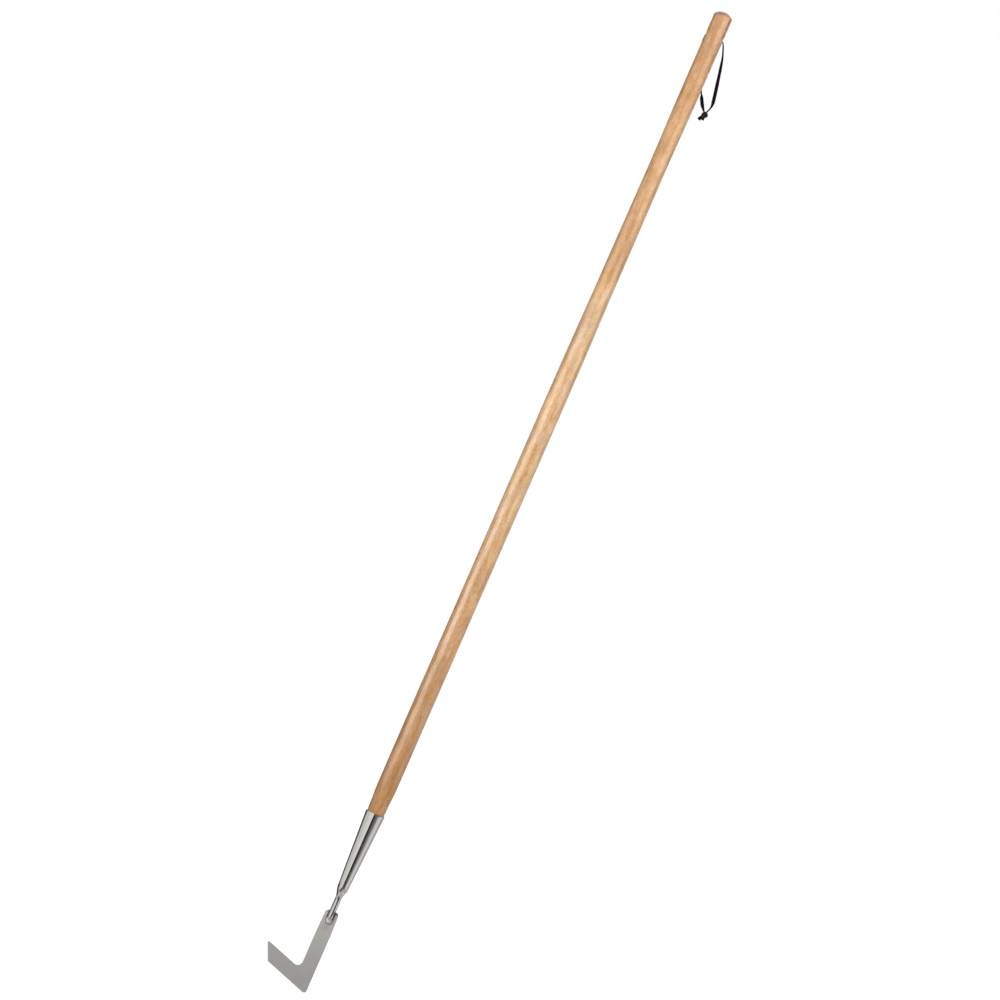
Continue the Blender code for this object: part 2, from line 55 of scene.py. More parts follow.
POLE_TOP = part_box("handle")[1].z
POLE_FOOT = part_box("handle")[0].z
GRIP_RADIUS = 0.0134
WAIST_RADIUS = 0.01255
PALM_RADIUS = 0.01310
SHAFT_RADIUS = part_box("handle")[1].x
ENTRY_RADIUS = 0.0130
GRIP_DEPTH = 0.090
WAIST_DEPTH = 0.195
PALM_DEPTH = 0.365
SHAFT_DEPTH = 0.520
MOUTH_DEPTH = 1.1850
TAPER_LENGTH = 0.041
SHOULDER_LENGTH = 0.007
DOME_RADIUS = 0.0175
DOME_FLAT_RADIUS = 0.0030
DOME_EDGE = 0.0006
INSERT_TOP_RADIUS = 0.0124
INSERT_FOOT_RADIUS = 0.0077
INSERT_CHAMFER = 0.004
POLE_COLUMNS = 96
HOLE_RADIUS = 0.0030
COUNTERSINK = 0.0024
END_CUT_SLOPE = 0.383
END_CUT_HEIGHT = 0.0330
RING_SPACING = 0.0024
HEART_DISTANCE = 0.048
GRAIN_SLOPE = 0.011
TONE_FOOT = -1.170
TONE_LENGTH = 1.200


def smooth_step(value, low, high):
    """0 up to low, 1 from high, and the cubic 3t^2 - 2t^3 between them, for a number or an array."""
    share = np.clip((value - low) / (high - low), 0.0, 1.0)
    return share * share * (3.0 - 2.0 * share)


def grid_faces(rows, columns, wrap_columns=True, wrap_rows=False):
    """Corner numbers of the quads of a grid of points, row by row, with its last row or column joined on."""
    r = np.arange(rows if wrap_rows else rows - 1)[:, None]
    c = np.arange(columns if wrap_columns else columns - 1)[None, :]
    below = (r + 1) % rows
    right = (c + 1) % columns
    corners = (r * columns + c, below * columns + c, below * columns + right, r * columns + right)
    return np.stack(np.broadcast_arrays(*corners), axis=-1).reshape(-1, 4)


def make_piece(name, points, faces, caps=(), smooth=True):
    """An object at the origin from an array of points and lists of faces."""
    mesh = bpy.data.meshes.new(name)
    faces = faces.tolist() + [list(map(int, cap)) for cap in caps]
    mesh.from_pydata(points.reshape(-1, 3).tolist(), [], faces)
    if smooth:
        mesh.shade_smooth()
    mesh.validate()
    piece = bpy.data.objects.new(name, mesh)
    bpy.context.scene.collection.objects.link(piece)
    return piece


def capped_piece(name, points, smooth=True):
    """A piece from a grid whose rows are closed rings, with a flat cap on the first ring and on the last."""
    rows, columns = points.shape[:2]
    caps = (range(columns), range(rows * columns - 1, (rows - 1) * columns - 1, -1))
    return make_piece(name, points, grid_faces(rows, columns), caps, smooth)


def turned(profile, columns):
    """Points of a turned surface: each (radius, height) of the profile swept round Z, from the front
    towards +X, as (radius sin a, -radius cos a, height)."""
    angle = np.linspace(0.0, 2.0 * math.pi, columns, endpoint=False)[None, :]
    radius = profile[:, 0][:, None]
    height = np.broadcast_to(profile[:, 1][:, None], (len(profile), columns))
    return np.stack([radius * np.sin(angle), -radius * np.cos(angle), height], axis=-1)


def pole_profile():
    """Radius and height of the pole, top to bottom: a cap of a sphere, its broken edge as the curve
    (1 - t)^2 a + 2 t (1 - t) b + t^2 c, then swells that blend with a smooth step between one station and
    the next, then the tapered end in the socket."""
    first = math.asin(DOME_FLAT_RADIUS / DOME_RADIUS)
    last = math.asin((GRIP_RADIUS - DOME_EDGE) / DOME_RADIUS)
    angle = np.linspace(first, last, 18)
    dome = np.stack([DOME_RADIUS * np.sin(angle),
                     POLE_TOP - DOME_RADIUS * (math.cos(first) - np.cos(angle))], axis=1)
    edge_start = dome[-1]
    edge_bend = np.array([GRIP_RADIUS, edge_start[1] - DOME_EDGE * math.tan(last)])
    edge_foot = np.array([GRIP_RADIUS, edge_start[1] - 1.6 * DOME_EDGE])
    t = np.linspace(0.0, 1.0, 7)[1:, None]
    edge = (1.0 - t) ** 2 * edge_start + 2.0 * t * (1.0 - t) * edge_bend + t ** 2 * edge_foot
    taper = MOUTH_DEPTH - TAPER_LENGTH
    shoulder = MOUTH_DEPTH - SHOULDER_LENGTH
    depth = np.concatenate([
        np.linspace(-edge_foot[1], -0.010, 10, endpoint=False)[1:],
        np.linspace(-0.010, 0.010, 20, endpoint=False),
        np.linspace(0.010, SHAFT_DEPTH, 60, endpoint=False),
        np.linspace(SHAFT_DEPTH, taper, 24, endpoint=False),
        np.linspace(taper, shoulder, 12, endpoint=False),
        np.linspace(shoulder, MOUTH_DEPTH, 9),
    ])
    radius = np.full(len(depth), GRIP_RADIUS)
    for above, below, start, end in (
            (GRIP_RADIUS, WAIST_RADIUS, GRIP_DEPTH, WAIST_DEPTH),
            (WAIST_RADIUS, PALM_RADIUS, WAIST_DEPTH, PALM_DEPTH),
            (PALM_RADIUS, SHAFT_RADIUS, PALM_DEPTH, SHAFT_DEPTH),
            (SHAFT_RADIUS, ENTRY_RADIUS, taper, shoulder),
            (ENTRY_RADIUS, INSERT_TOP_RADIUS, shoulder, MOUTH_DEPTH)):
        radius += (below - above) * smooth_step(depth, start, end)
    body = np.stack([radius, -depth], axis=1)
    chamfer = 0.6 * INSERT_CHAMFER
    insert = np.array([[INSERT_FOOT_RADIUS, POLE_FOOT + INSERT_CHAMFER],
                       [INSERT_FOOT_RADIUS - chamfer, POLE_FOOT]])
    return np.concatenate([dome, edge, body, insert])


def cut_hole(piece):
    """Cuts the countersunk hanging hole across the pole, along X, and leaves its rims sharp."""
    reach = GRIP_RADIUS + 0.002
    throat = GRIP_RADIUS - COUNTERSINK
    mouth = HOLE_RADIUS + reach - throat
    profile = np.array([[mouth, reach], [HOLE_RADIUS, throat], [HOLE_RADIUS, -throat], [mouth, -reach]])
    drill = capped_piece("hole_drill", turned(profile, 48)[..., [2, 0, 1]], smooth=False)
    cutting = piece.modifiers.new("hole", "BOOLEAN")
    cutting.object = drill
    bpy.context.view_layer.update()
    cut_mesh = bpy.data.meshes.new_from_object(piece.evaluated_get(bpy.context.evaluated_depsgraph_get()))
    piece.modifiers.clear()
    piece.data = cut_mesh
    cut_mesh.set_sharp_from_angle(angle=math.radians(28.0))
    bpy.data.objects.remove(drill, do_unlink=True)


pole = capped_piece("pole", turned(pole_profile(), POLE_COLUMNS))
cut_hole(pole)


def join(tree, value, slot):
    """Gives a socket a link from a signal, or a fixed value."""
    if isinstance(value, Signal):
        tree.links.new(value.socket, slot)
    else:
        slot.default_value = value


def set_stops(ramp, stops):
    """Gives a ramp its stops, each a place from 0 to 1 and a colour."""
    while len(ramp.elements) < len(stops):
        ramp.elements.new(1.0)
    for element, (place, value) in zip(ramp.elements, stops):
        element.position = place
        element.color = value


def add_node(tree, kind, settings, sockets, out=0):
    """A node of a kind, with its settings, then its sockets' values or links; gives one output."""
    node = tree.nodes.new("ShaderNode" + kind)
    for name, value in settings.items():
        if name == "stops":
            set_stops(node.color_ramp, value)
        else:
            setattr(node, name, value)
    for name, value in sockets.items():
        join(tree, value, node.inputs[name])
    return Signal(tree, node.outputs[out])


class Signal:
    """The output of a node. Arithmetic on it adds the Math nodes that work the expression out."""

    def __init__(self, tree, socket):
        self.tree = tree
        self.socket = socket

    def math(self, operation, *others):
        """A Math node on this signal and the others."""
        return add_node(self.tree, "Math", {"operation": operation}, dict(enumerate((self, *others))))

    def __add__(self, other):
        return self.math("ADD", other)

    def __sub__(self, other):
        return self.math("SUBTRACT", other)

    def __rsub__(self, other):
        return self.math("MULTIPLY_ADD", -1.0, other)

    def __mul__(self, other):
        return self.math("MULTIPLY", other)

    def __truediv__(self, other):
        return self.math("DIVIDE", other)

    def __pow__(self, other):
        return self.math("POWER", other)

    def __neg__(self):
        return self.math("MULTIPLY", -1.0)

    def __abs__(self):
        return self.math("ABSOLUTE")

    __radd__ = __add__
    __rmul__ = __mul__

    def at_least(self, other):
        """The higher of this signal and another, or a number."""
        return self.math("MAXIMUM", other)

    def between(self, low, high):
        """0 below low, 1 above high, smooth between."""
        return add_node(self.tree, "MapRange", {"interpolation_type": "SMOOTHSTEP"},
                        {"Value": self, "From Min": low, "From Max": high})


class Finish:
    """A material with one Principled shader, and the kinds of node that the pieces' finishes share."""

    def __init__(self, name, **constants):
        self.material = bpy.data.materials.new(name)
        self.material.use_nodes = True
        self.tree = self.material.node_tree
        self.shader = self.tree.nodes["Principled BSDF"]
        self.set(**constants)

    def set(self, **sockets):
        """Sets or links sockets of the shader, named in lower case with underscores."""
        for name, value in sockets.items():
            join(self.tree, value, self.shader.inputs[name.replace("_", " ").title().replace("Ior", "IOR")])

    def node(self, kind, settings=None, sockets=None, out=0):
        """A node of this finish."""
        return add_node(self.tree, kind, settings or {}, sockets or {}, out)

    def place(self):
        """Where a point lies in the model's frame, in metres."""
        return self.node("TexCoord", out="Object")

    def axes(self):
        """The three coordinates of that place."""
        split = self.node("SeparateXYZ", sockets={"Vector": self.place()})
        return [Signal(self.tree, output) for output in split.socket.node.outputs]

    def noise(self, size, detail=2.0, roughness=0.5, vector=None):
        """Noise from 0 to 1 whose blotches have the size (x, y, z) in metres."""
        stretched = self.node("Mapping", sockets={
            "Vector": vector or self.place(), "Scale": tuple(1.0 / length for length in size)})
        return self.node("TexNoise", sockets={
            "Vector": stretched, "Scale": 1.0, "Detail": detail, "Roughness": roughness})

    def mix(self, low, high, factor, blend="MIX"):
        """A colour from low to high, or to low times high with MULTIPLY, by a factor from 0 to 1."""
        return self.node("Mix", {"data_type": "RGBA", "blend_type": blend},
                         {0: factor, 6: low, 7: high}, out=2)

    def spot(self, centre, reach):
        """1 at a centre, falling smoothly to 0 at the reach (x, y, z) round it."""
        scale = [1.0 / length for length in reach]
        from_centre = self.node("Mapping", sockets={
            "Vector": self.place(), "Location": [-c * s for c, s in zip(centre, scale)], "Scale": scale})
        away = self.node("VectorMath", {"operation": "LENGTH"}, {0: from_centre}, out=1)
        return 1.0 - away.between(0.0, 1.0)

    def bump(self, height, distance, strength=1.0):
        """Relief of a height from 0 to 1, as deep as the distance in metres."""
        return self.node("Bump", sockets={"Height": height, "Distance": distance, "Strength": strength})


def colour(red, green, blue):
    """A linear colour with full alpha."""
    return (red, green, blue, 1.0)


def end_grain(ash, wood, x, y, z):
    """Lays the cut end over the wood: greyer, speckled with open pores, and bounded by a dark line on a
    slanting plane, with painted shade as a patchy brown line down the tip's right edge at the front."""
    above = z - x * END_CUT_SLOPE - END_CUT_HEIGHT
    open_pores = ash.noise((0.0012, 0.0012, 0.0012), 2.0).between(0.50, 0.66)
    cut = ash.mix(colour(0.50, 0.32, 0.22), colour(0.26, 0.14, 0.09), open_pores * 0.8)
    line = (1.0 - abs(above).between(0.0002, 0.0010)) * (open_pores * 0.35 + 0.55)
    wood = ash.mix(wood, cut, above.between(-0.0002, 0.0004))
    wood = ash.mix(wood, colour(0.16, 0.080, 0.047), line)
    shade_patchiness = ash.noise((0.003, 0.003, 0.009), 2.0).between(0.38, 0.60) * 0.50 + 0.38
    # Painted shade: a patchy dark brown line down the right edge at the front, from beside the hole up to the
    # cut end.
    right_edge_shade = 1.0 - abs(x - 0.0110 + above.between(-0.008, 0.002) * 0.0016).between(0.0003, 0.0013)
    right_edge_shade = right_edge_shade * z.between(-0.004, 0.003) * (-y).between(-0.001, 0.004)
    return ash.mix(wood, colour(0.13, 0.062, 0.033), right_edge_shade * shade_patchiness)


def ash_finish():
    """Lacquered ash. The growth rings of a big log run almost along the pole, so that they show as long
    streaks and flames, with fine pores in their early wood. Its tone wanders at several scales between a warm
    orange and a pinkish tan, and along the pole from pale in the middle to brown at the socket."""
    ash = Finish("lacquered_ash", coat_roughness=0.17, coat_ior=1.5, coat_weight=0.9, specular_ior_level=0.2)
    x, y, z = ash.axes()
    sway = ash.noise((0.05, 0.05, 0.35), 2.0)
    across = x * 0.78 + y * 0.62 + z * GRAIN_SLOPE + sway * 0.009 + HEART_DISTANCE
    along = y * 0.78 - x * 0.62
    log_radius = (across * across + along * along).math("SQRT")
    ring = (log_radius / RING_SPACING).math("FRACT")
    early = (1.0 - ring) ** 2.2
    pores = ash.noise((0.00035, 0.00035, 0.014), 1.0).between(0.55, 0.75) * early
    fibre = ash.noise((0.0012, 0.0012, 0.090), 3.0, 0.6)
    band = ash.noise((0.0065, 0.0065, 0.130), 2.0)
    fleck = ash.noise((0.0016, 0.0016, 0.0034), 2.0)
    cloud = ash.noise((0.0045, 0.0045, 0.0120), 2.0)
    drift = ash.noise((0.0110, 0.0110, 0.0450), 2.0)
    flush = ash.noise((0.0060, 0.0060, 0.0200), 2.0, 0.5, ash.node("VectorMath", {"operation": "ADD"}, {
        0: ash.place(), 1: (0.3, 0.7, 0.2)}))
    along_pole = ash.node("ValToRGB", {"stops": [
        ((height - TONE_FOOT) / TONE_LENGTH, colour(*shade)) for height, shade in (
            (-1.130, (0.462, 0.235, 0.093)), (-1.080, (0.490, 0.252, 0.107)), (-1.000, (0.530, 0.298, 0.135)),
            (-0.900, (0.595, 0.342, 0.166)), (-0.800, (0.640, 0.388, 0.198)), (-0.700, (0.665, 0.424, 0.222)),
            (-0.600, (0.700, 0.445, 0.250)), (-0.400, (0.645, 0.410, 0.219)), (-0.345, (0.612, 0.350, 0.166)),
            (-0.120, (0.635, 0.360, 0.165)), (-0.060, (0.590, 0.315, 0.143)))]},
        {"Fac": (z - TONE_FOOT) / TONE_LENGTH})
    pale = ash.mix(along_pole, colour(1.25, 1.33, 1.46), 1.0, "MULTIPLY")
    deep = ash.mix(along_pole, colour(0.76, 0.66, 0.49), 1.0, "MULTIPLY")
    tone = fleck + cloud * 0.8 + drift * 1.6 + fibre * 0.5 + band * 0.5 - 1.70
    wood = ash.mix(deep, pale, tone)
    wood = ash.mix(wood, colour(1.00, 0.90, 0.66), flush.between(0.46, 0.66) * 0.9, "MULTIPLY")
    wood = ash.mix(wood, colour(1.01, 1.04, 1.22), (1.0 - flush).between(0.50, 0.68) * 0.8, "MULTIPLY")
    wood = ash.mix(wood, colour(0.36, 0.175, 0.065), early * 0.16 + pores * 0.22)
    # The first three are blotches in the wood; the last three are painted shade, dark spots down the right
    # edge at the front.
    for centre, reach, shade, strength in (
            ((-0.0055, -0.0120, -0.3720), (0.011, 0.010, 0.026), (0.95, 0.82, 0.56), 0.9),
            ((0.0095, -0.0090, -0.3580), (0.005, 0.007, 0.009), (0.85, 0.74, 0.64), 0.9),
            ((0.0030, -0.0135, -0.6650), (0.004, 0.005, 0.006), (0.82, 0.72, 0.62), 0.6),
            ((0.0124, -0.0040, 0.0060), (0.0019, 0.006, 0.0030), (0.30, 0.26, 0.25), 1.0),
            ((0.0125, -0.0040, -0.0460), (0.0023, 0.007, 0.0056), (0.34, 0.28, 0.26), 1.0),
            ((0.0124, -0.0040, -0.1035), (0.0021, 0.007, 0.0032), (0.34, 0.28, 0.26), 1.0)):
        wood = ash.mix(wood, colour(*shade), ash.spot(centre, reach) * strength, "MULTIPLY")
    wood = end_grain(ash, wood, x, y, z)
    # Painted shade: the wood inside the socket, seen through the seam, is darkened to a deep brown.
    inside = (-z).between(MOUTH_DEPTH - 0.001, MOUTH_DEPTH + 0.002)
    wood = ash.mix(wood, colour(0.10, 0.055, 0.025), inside * 0.9)
    ash.set(base_color=wood, roughness=fibre * 0.12 + 0.40,
            normal=ash.bump(early * 0.5 + pores, 0.00003, 0.35))
    return ash.material


pole.data.materials.append(ash_finish())
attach(pole, "tool")
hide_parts("handle")


# Socket
# Stainless sheet rolled into a tapered tube round the pole's end. Its two edges meet, a hair apart, in a seam
# down the front, which turns aside where the sheet curls in on the neck bar. It is polished lengthways.

SHEET_THICKNESS = 0.0015
SHEET_COLUMNS = 151
SOCKET_MOUTH_RADIUS = 0.0142
SOCKET_NECK_RADIUS = 0.0081
SOCKET_END_RADIUS = 0.00635
SOCKET_CONE_LENGTH = 0.1127
SOCKET_SHOULDER_LENGTH = 0.0085
MOUTH_Z = -MOUTH_DEPTH
SOCKET_END_Z = MOUTH_Z - SOCKET_CONE_LENGTH - SOCKET_SHOULDER_LENGTH
SEAM_GAP = 0.0011
SEAM_END_GAP = 0.0006
SEAM_ANGLE = math.radians(1.0)
SEAM_TURN = math.radians(17.0)
SEAM_TURN_RISE = 0.0018
LIP_RISE = 0.00035
LIP_WIDTH = 0.0022
LIP_DROP = 0.0024
SEAM_SHADE = 0.0010
FOLD_TOP = -1.3005
FOLD_X = -0.0067
FOLD_SLOPE = 0.29
FOLD_CROSSING = 0.0025
BUFFED_CENTRE = (0.0025, -0.0065, -1.3065)
BUFFED_REACH = (0.0045, 0.0070, 0.0080)
BEAD_TURN_Z = -1.3460
BEAD_MIDDLE_X = 0.00035
CREASE_HALF_WIDTH = 0.00465
CREASE_DROP = 0.0086


def socket_skins():
    """Outer and inner skin of the sheet as two grids, from mouth to neck and, as the sheet lies unrolled,
    from its left edge to its right. Both lie off the sheet's middle by half its thickness, less near a free
    edge: half sqrt(1 - (1 - e)^2), where e is the distance to the edge in half thicknesses, up to 1. That
    rounds the edges, and the skins meet there."""
    half = 0.5 * SHEET_THICKNESS
    rim = half * (1.0 - np.cos(np.linspace(0.0, 0.5 * math.pi, 6)))
    turn_start = SOCKET_CONE_LENGTH - SEAM_TURN_RISE
    end = SOCKET_CONE_LENGTH + SOCKET_SHOULDER_LENGTH
    depth = np.concatenate([
        rim, np.linspace(rim[-1], turn_start, 44)[1:], np.linspace(turn_start, end - half, 26)[1:],
        end - rim[::-1][1:]])[:, None]
    lip = np.concatenate([rim, np.full(SHEET_COLUMNS, rim[-1]), 2.0 * rim[-1] - rim[::-1]])[None, :]
    share = np.concatenate([
        np.zeros(len(rim)), np.linspace(0.0, 1.0, SHEET_COLUMNS + 2)[1:-1], np.ones(len(rim))])[None, :]
    slope = (SOCKET_NECK_RADIUS - SOCKET_MOUTH_RADIUS) / SOCKET_CONE_LENGTH
    curl = np.clip(depth - SOCKET_CONE_LENGTH, 0.0, None) / SOCKET_SHOULDER_LENGTH
    cone_end = SOCKET_NECK_RADIUS + slope * SOCKET_SHOULDER_LENGTH
    radius = SOCKET_MOUTH_RADIUS - half + slope * depth + (SOCKET_END_RADIUS - cone_end) * curl ** 2
    turned_share = smooth_step(depth, turn_start, end)
    gap = SEAM_GAP + (SEAM_END_GAP - SEAM_GAP) * turned_share
    girth = 2.0 * math.pi * radius - gap
    from_left = lip + share * (girth - 2.0 * half)
    from_edge = np.minimum(from_left, girth - from_left)
    around = from_left / girth
    angle = SEAM_ANGLE - SEAM_TURN * turned_share + (from_left + 0.5 * gap) / radius
    middle = radius + LIP_RISE * (1.0 - turned_share) * np.exp(-(from_edge / LIP_WIDTH) ** 2)
    free = np.minimum(np.minimum(from_edge, depth), end - depth)
    lift = half * np.sqrt(np.clip(1.0 - (1.0 - np.clip(free / half, 0.0, 1.0)) ** 2, 0.0, 1.0))
    drop = LIP_DROP * np.clip(1.0 - 4.0 * around, 0.0, None) ** 1.5
    drop = (drop + 0.00018 * np.sin(5.0 * angle + 0.7)) * np.exp(-depth / 0.010)
    height = MOUTH_Z - depth - drop
    skins = [np.stack([(middle + side * lift) * np.sin(angle), -(middle + side * lift) * np.cos(angle),
                       height + 0.0 * angle], axis=-1) for side in (1.0, -1.0)]
    return skins, np.clip(1.0 - from_edge / SEAM_SHADE, 0.0, 1.0) + 0.0 * height


def add_attribute(piece, name, values):
    """A number for each point of a piece, which its material reads."""
    attribute = piece.data.attributes.new(name, "FLOAT", "POINT")
    attribute.data.foreach_set("value", np.asarray(values, dtype=np.float32).reshape(-1))


def skins_piece(name, outer, inner, seam_edge):
    """One closed piece from two grids that meet along all their edges, with an attribute for both."""
    rows, columns = outer.shape[:2]
    numbers = np.arange(rows * columns).reshape(rows, columns)
    inside = numbers + rows * columns
    for edge in (np.s_[0, :], np.s_[-1, :], np.s_[:, 0], np.s_[:, -1]):
        inside[edge] = numbers[edge]
    outer_faces = grid_faces(rows, columns, wrap_columns=False)
    inner_faces = inside.reshape(-1)[outer_faces][:, ::-1]
    points = np.concatenate([outer.reshape(-1, 3), inner.reshape(-1, 3)])
    faces = np.concatenate([outer_faces, inner_faces])
    used, compact = np.unique(faces, return_inverse=True)
    piece = make_piece(name, points[used], compact.reshape(-1, 4))
    add_attribute(piece, "seam_edge", np.tile(seam_edge.reshape(-1), 2)[used])
    return piece


sheet_skins, seam_edge = socket_skins()
socket_sheet = skins_piece("socket_sheet", *sheet_skins, seam_edge)


def fold_shade(steel):
    """Painted shade, up to 1, in the fold where the sheet's last edge is hammered over: down the left of the
    shoulder and the weld, then across to the middle of the bar; and, fainter, on the seam's last trace in the
    weld."""
    x, y, z = steel.axes()
    down = FOLD_TOP - z
    fold = down.at_least(0.0) * FOLD_SLOPE + down.between(0.0104, 0.0122) * FOLD_CROSSING + FOLD_X
    near = 1.0 - abs(x - fold).between(0.0006, 0.0017)
    near = near * down.between(-0.0085, -0.0040) * (1.0 - down.between(0.0165, 0.0185)) \
        * (1.0 - down.between(0.0090, 0.0110) * (1.0 - down.between(0.0145, 0.0165)) * 0.2)
    trace = 1.0 - abs(x + 0.0019 - (down - 0.0057) * -0.47).between(0.0003, 0.0012)
    trace = trace * down.between(0.0052, 0.0058) * (1.0 - down.between(0.0088, 0.0100)) * 0.5
    return near.at_least(trace) * (-y).between(0.0, 0.0015)


def bead_crease_shade(steel):
    """Up to 1 where shade is painted round the bead: in its creases, a U open to the top, as the lower half
    of
    |x/a|^3 + |z/b|^3 = 1 with straight arms, the right one broad, a painted shadow of the bar reaching in over it;
    and in the crease on the bar where the bead's left side ends."""
    x, _, z = steel.axes()
    off_middle = x - BEAD_MIDDLE_X
    down = BEAD_TURN_Z - z
    below = down.at_least(0.0)
    across = abs(off_middle / CREASE_HALF_WIDTH)
    drop = below / CREASE_DROP
    share = (across * across * across + drop * drop * drop) ** (1.0 / 3.0)
    reach = (off_middle * off_middle + below * below).math("SQRT")
    away = reach - reach / share.at_least(0.05)
    right = x.between(-0.0008, 0.0012)
    beside = 1.0 - down.between(0.0005, 0.0030)
    inner = right * (beside * 0.0017 + (1.0 - down.between(-0.0075, -0.0045)) * 0.0026) + 0.0011
    near = away.at_least(0.0) / 0.0014 + (-away).at_least(0.0) / inner
    strength = x.between(0.0015, 0.0040) * 0.30 + 0.58
    strength = strength + (1.0 - right) * (1.0 - down.between(-0.0020, 0.0)) * 0.40
    rim = (1.0 - near.between(0.35, 1.0)) * strength
    bend = down + 0.0100
    line = abs(x - 0.0006 + bend * bend * 11.0).between(0.0003, 0.0010)
    line = (1.0 - line) * down.between(-0.0120, -0.0095) * (1.0 - down.between(0.0015, 0.0028)) * 0.5
    return rim.at_least(line) * down.between(-0.0140, -0.0102)


def polished_finish():
    """Polished stainless steel: fine lengthways polishing lines, a slight unevenness from rolling, a duller
    shoulder, and painted shade along the seam's gap, in the fold, beside the weld on the bar and round the
    bead."""
    steel = Finish("polished_steel", metallic=1.0)
    lines = steel.noise((0.00025, 0.00025, 0.012), 3.0, 0.6)
    cloud = steel.noise((0.006, 0.006, 0.012), 2.0)
    waves = steel.noise((0.007, 0.007, 0.030), 1.0)
    # Painted shade along both of the sheet's edges at the seam's gap.
    seam = steel.node("Attribute", {"attribute_name": "seam_edge"}, out="Fac").between(0.15, 0.60)
    x, _, z = steel.axes()
    below = SOCKET_END_Z - z
    # Painted shade: a dark line down the bar's left side, beside the weld.
    beside = (1.0 - abs(x + 0.0031).between(0.0004, 0.0012)) * below.between(0.006, 0.008)
    seam = seam * (1.0 - below.between(-0.0050, -0.0010) * 0.35)
    dark = seam.at_least(fold_shade(steel)).at_least(beside * 0.6).at_least(bead_crease_shade(steel))
    shoulder = below.between(-0.0085, -0.0045) * (1.0 - below.between(0.0075, 0.0095))
    tint = steel.mix(colour(0.70, 0.685, 0.655), colour(0.62, 0.605, 0.58), cloud)
    tint = steel.mix(tint, colour(0.96, 0.94, 0.91), steel.spot(BUFFED_CENTRE, BUFFED_REACH))
    tint = steel.mix(tint, colour(0.045, 0.040, 0.036), dark * 0.94)
    steel.set(base_color=tint, roughness=lines * 0.08 + cloud * 0.04 + dark * 0.25 + shoulder * 0.45 + 0.10,
              normal=steel.bump(waves + lines * 0.02, 0.0004, 0.5))
    return steel.material


polished = polished_finish()
socket_sheet.data.materials.append(polished)
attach(socket_sheet, "tool")
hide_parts("socket")


# Fixing screw
# A round-headed steel screw with a cross recess. It is driven through the back of the socket into the pole,
# which holds the two together.

SCREW_DEPTH = 0.026
SCREW_HEAD_RADIUS = 0.0037
SCREW_HEAD_RISE = 0.0019
SCREW_RIM = 0.0004
SCREW_SHANK_RADIUS = 0.0018
SCREW_SHANK_LENGTH = 0.009
RECESS_REACH = 0.0020
RECESS_HALF_WIDTH = 0.00042
RECESS_DEPTH = 0.0011


def screw_points():
    """The head as a low dome on a straight rim, rim + (rise - rim) sqrt(1 - (r/R)^2), less a cross-shaped
    recess that is deepest in the middle, as rings; then the rings of its flat underside and of the shank.
    The head looks towards +Y."""
    share = np.sin(np.linspace(0.008, 0.5 * math.pi, 30))[:, None]
    angle = np.linspace(0.0, 2.0 * math.pi, 72, endpoint=False)[None, :]
    radius = SCREW_HEAD_RADIUS * share + 0.0 * angle
    dome = np.sqrt(np.clip(1.0 - share ** 2, 0.0, 1.0)) + 0.0 * angle
    height = SCREW_RIM + (SCREW_HEAD_RISE - SCREW_RIM) * dome
    across = np.minimum(np.abs(radius * np.sin(angle)), np.abs(radius * np.cos(angle)))
    inside = (1.0 - smooth_step(across, RECESS_HALF_WIDTH, RECESS_HALF_WIDTH + 0.0002)) \
        * (1.0 - smooth_step(radius, RECESS_REACH - 0.0003, RECESS_REACH))
    height = height - RECESS_DEPTH * inside * (1.0 - 0.45 * radius / RECESS_REACH)
    below = np.array([[SCREW_HEAD_RADIUS, 0.0], [SCREW_SHANK_RADIUS, 0.0],
                      [SCREW_SHANK_RADIUS, -SCREW_SHANK_LENGTH]])
    radius = np.concatenate([radius, np.broadcast_to(below[:, :1], (len(below), angle.size))])
    height = np.concatenate([height, np.broadcast_to(below[:, 1:], (len(below), angle.size))])
    seat_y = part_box("fixing_screw")[1].y - SCREW_HEAD_RISE
    return np.stack([radius * np.sin(angle), seat_y + height,
                     MOUTH_Z - SCREW_DEPTH + radius * np.cos(angle)], axis=-1)


screw = capped_piece("screw", screw_points())
screw.data.set_sharp_from_angle(angle=math.radians(40.0))


def screw_finish():
    """Bright screw steel with a fine, uneven grain."""
    steel = Finish("screw_steel", metallic=1.0)
    grain = steel.noise((0.0004, 0.0004, 0.0004), 3.0)
    steel.set(base_color=steel.mix(colour(0.58, 0.57, 0.55), colour(0.46, 0.45, 0.43), grain),
              roughness=grain * 0.15 + 0.22, normal=steel.bump(grain, 0.00004, 0.4))
    return steel.material


screw.data.materials.append(screw_finish())
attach(screw, "tool")
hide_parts("fixing_screw")


# Neck bar
# A short round bar with a domed end. It is pressed flat at the back where it lies on the blade, and a
# ground weld fills the step from the sheet's end down to the bar.

BAR_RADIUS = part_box("neck_bar")[1].x
BAR_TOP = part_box("neck_bar")[1].z
BAR_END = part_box("neck_bar")[0].z
BAR_CHAMFER = 0.0006
BAR_FLAT = 0.0008
BLADE_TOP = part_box("blade")[1].z
BLADE_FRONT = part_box("blade")[0].y
NECK_WELD_LENGTH = 0.0076
GROOVE_WIDTH = 0.00070
GROOVE_DEPTH = 0.00035


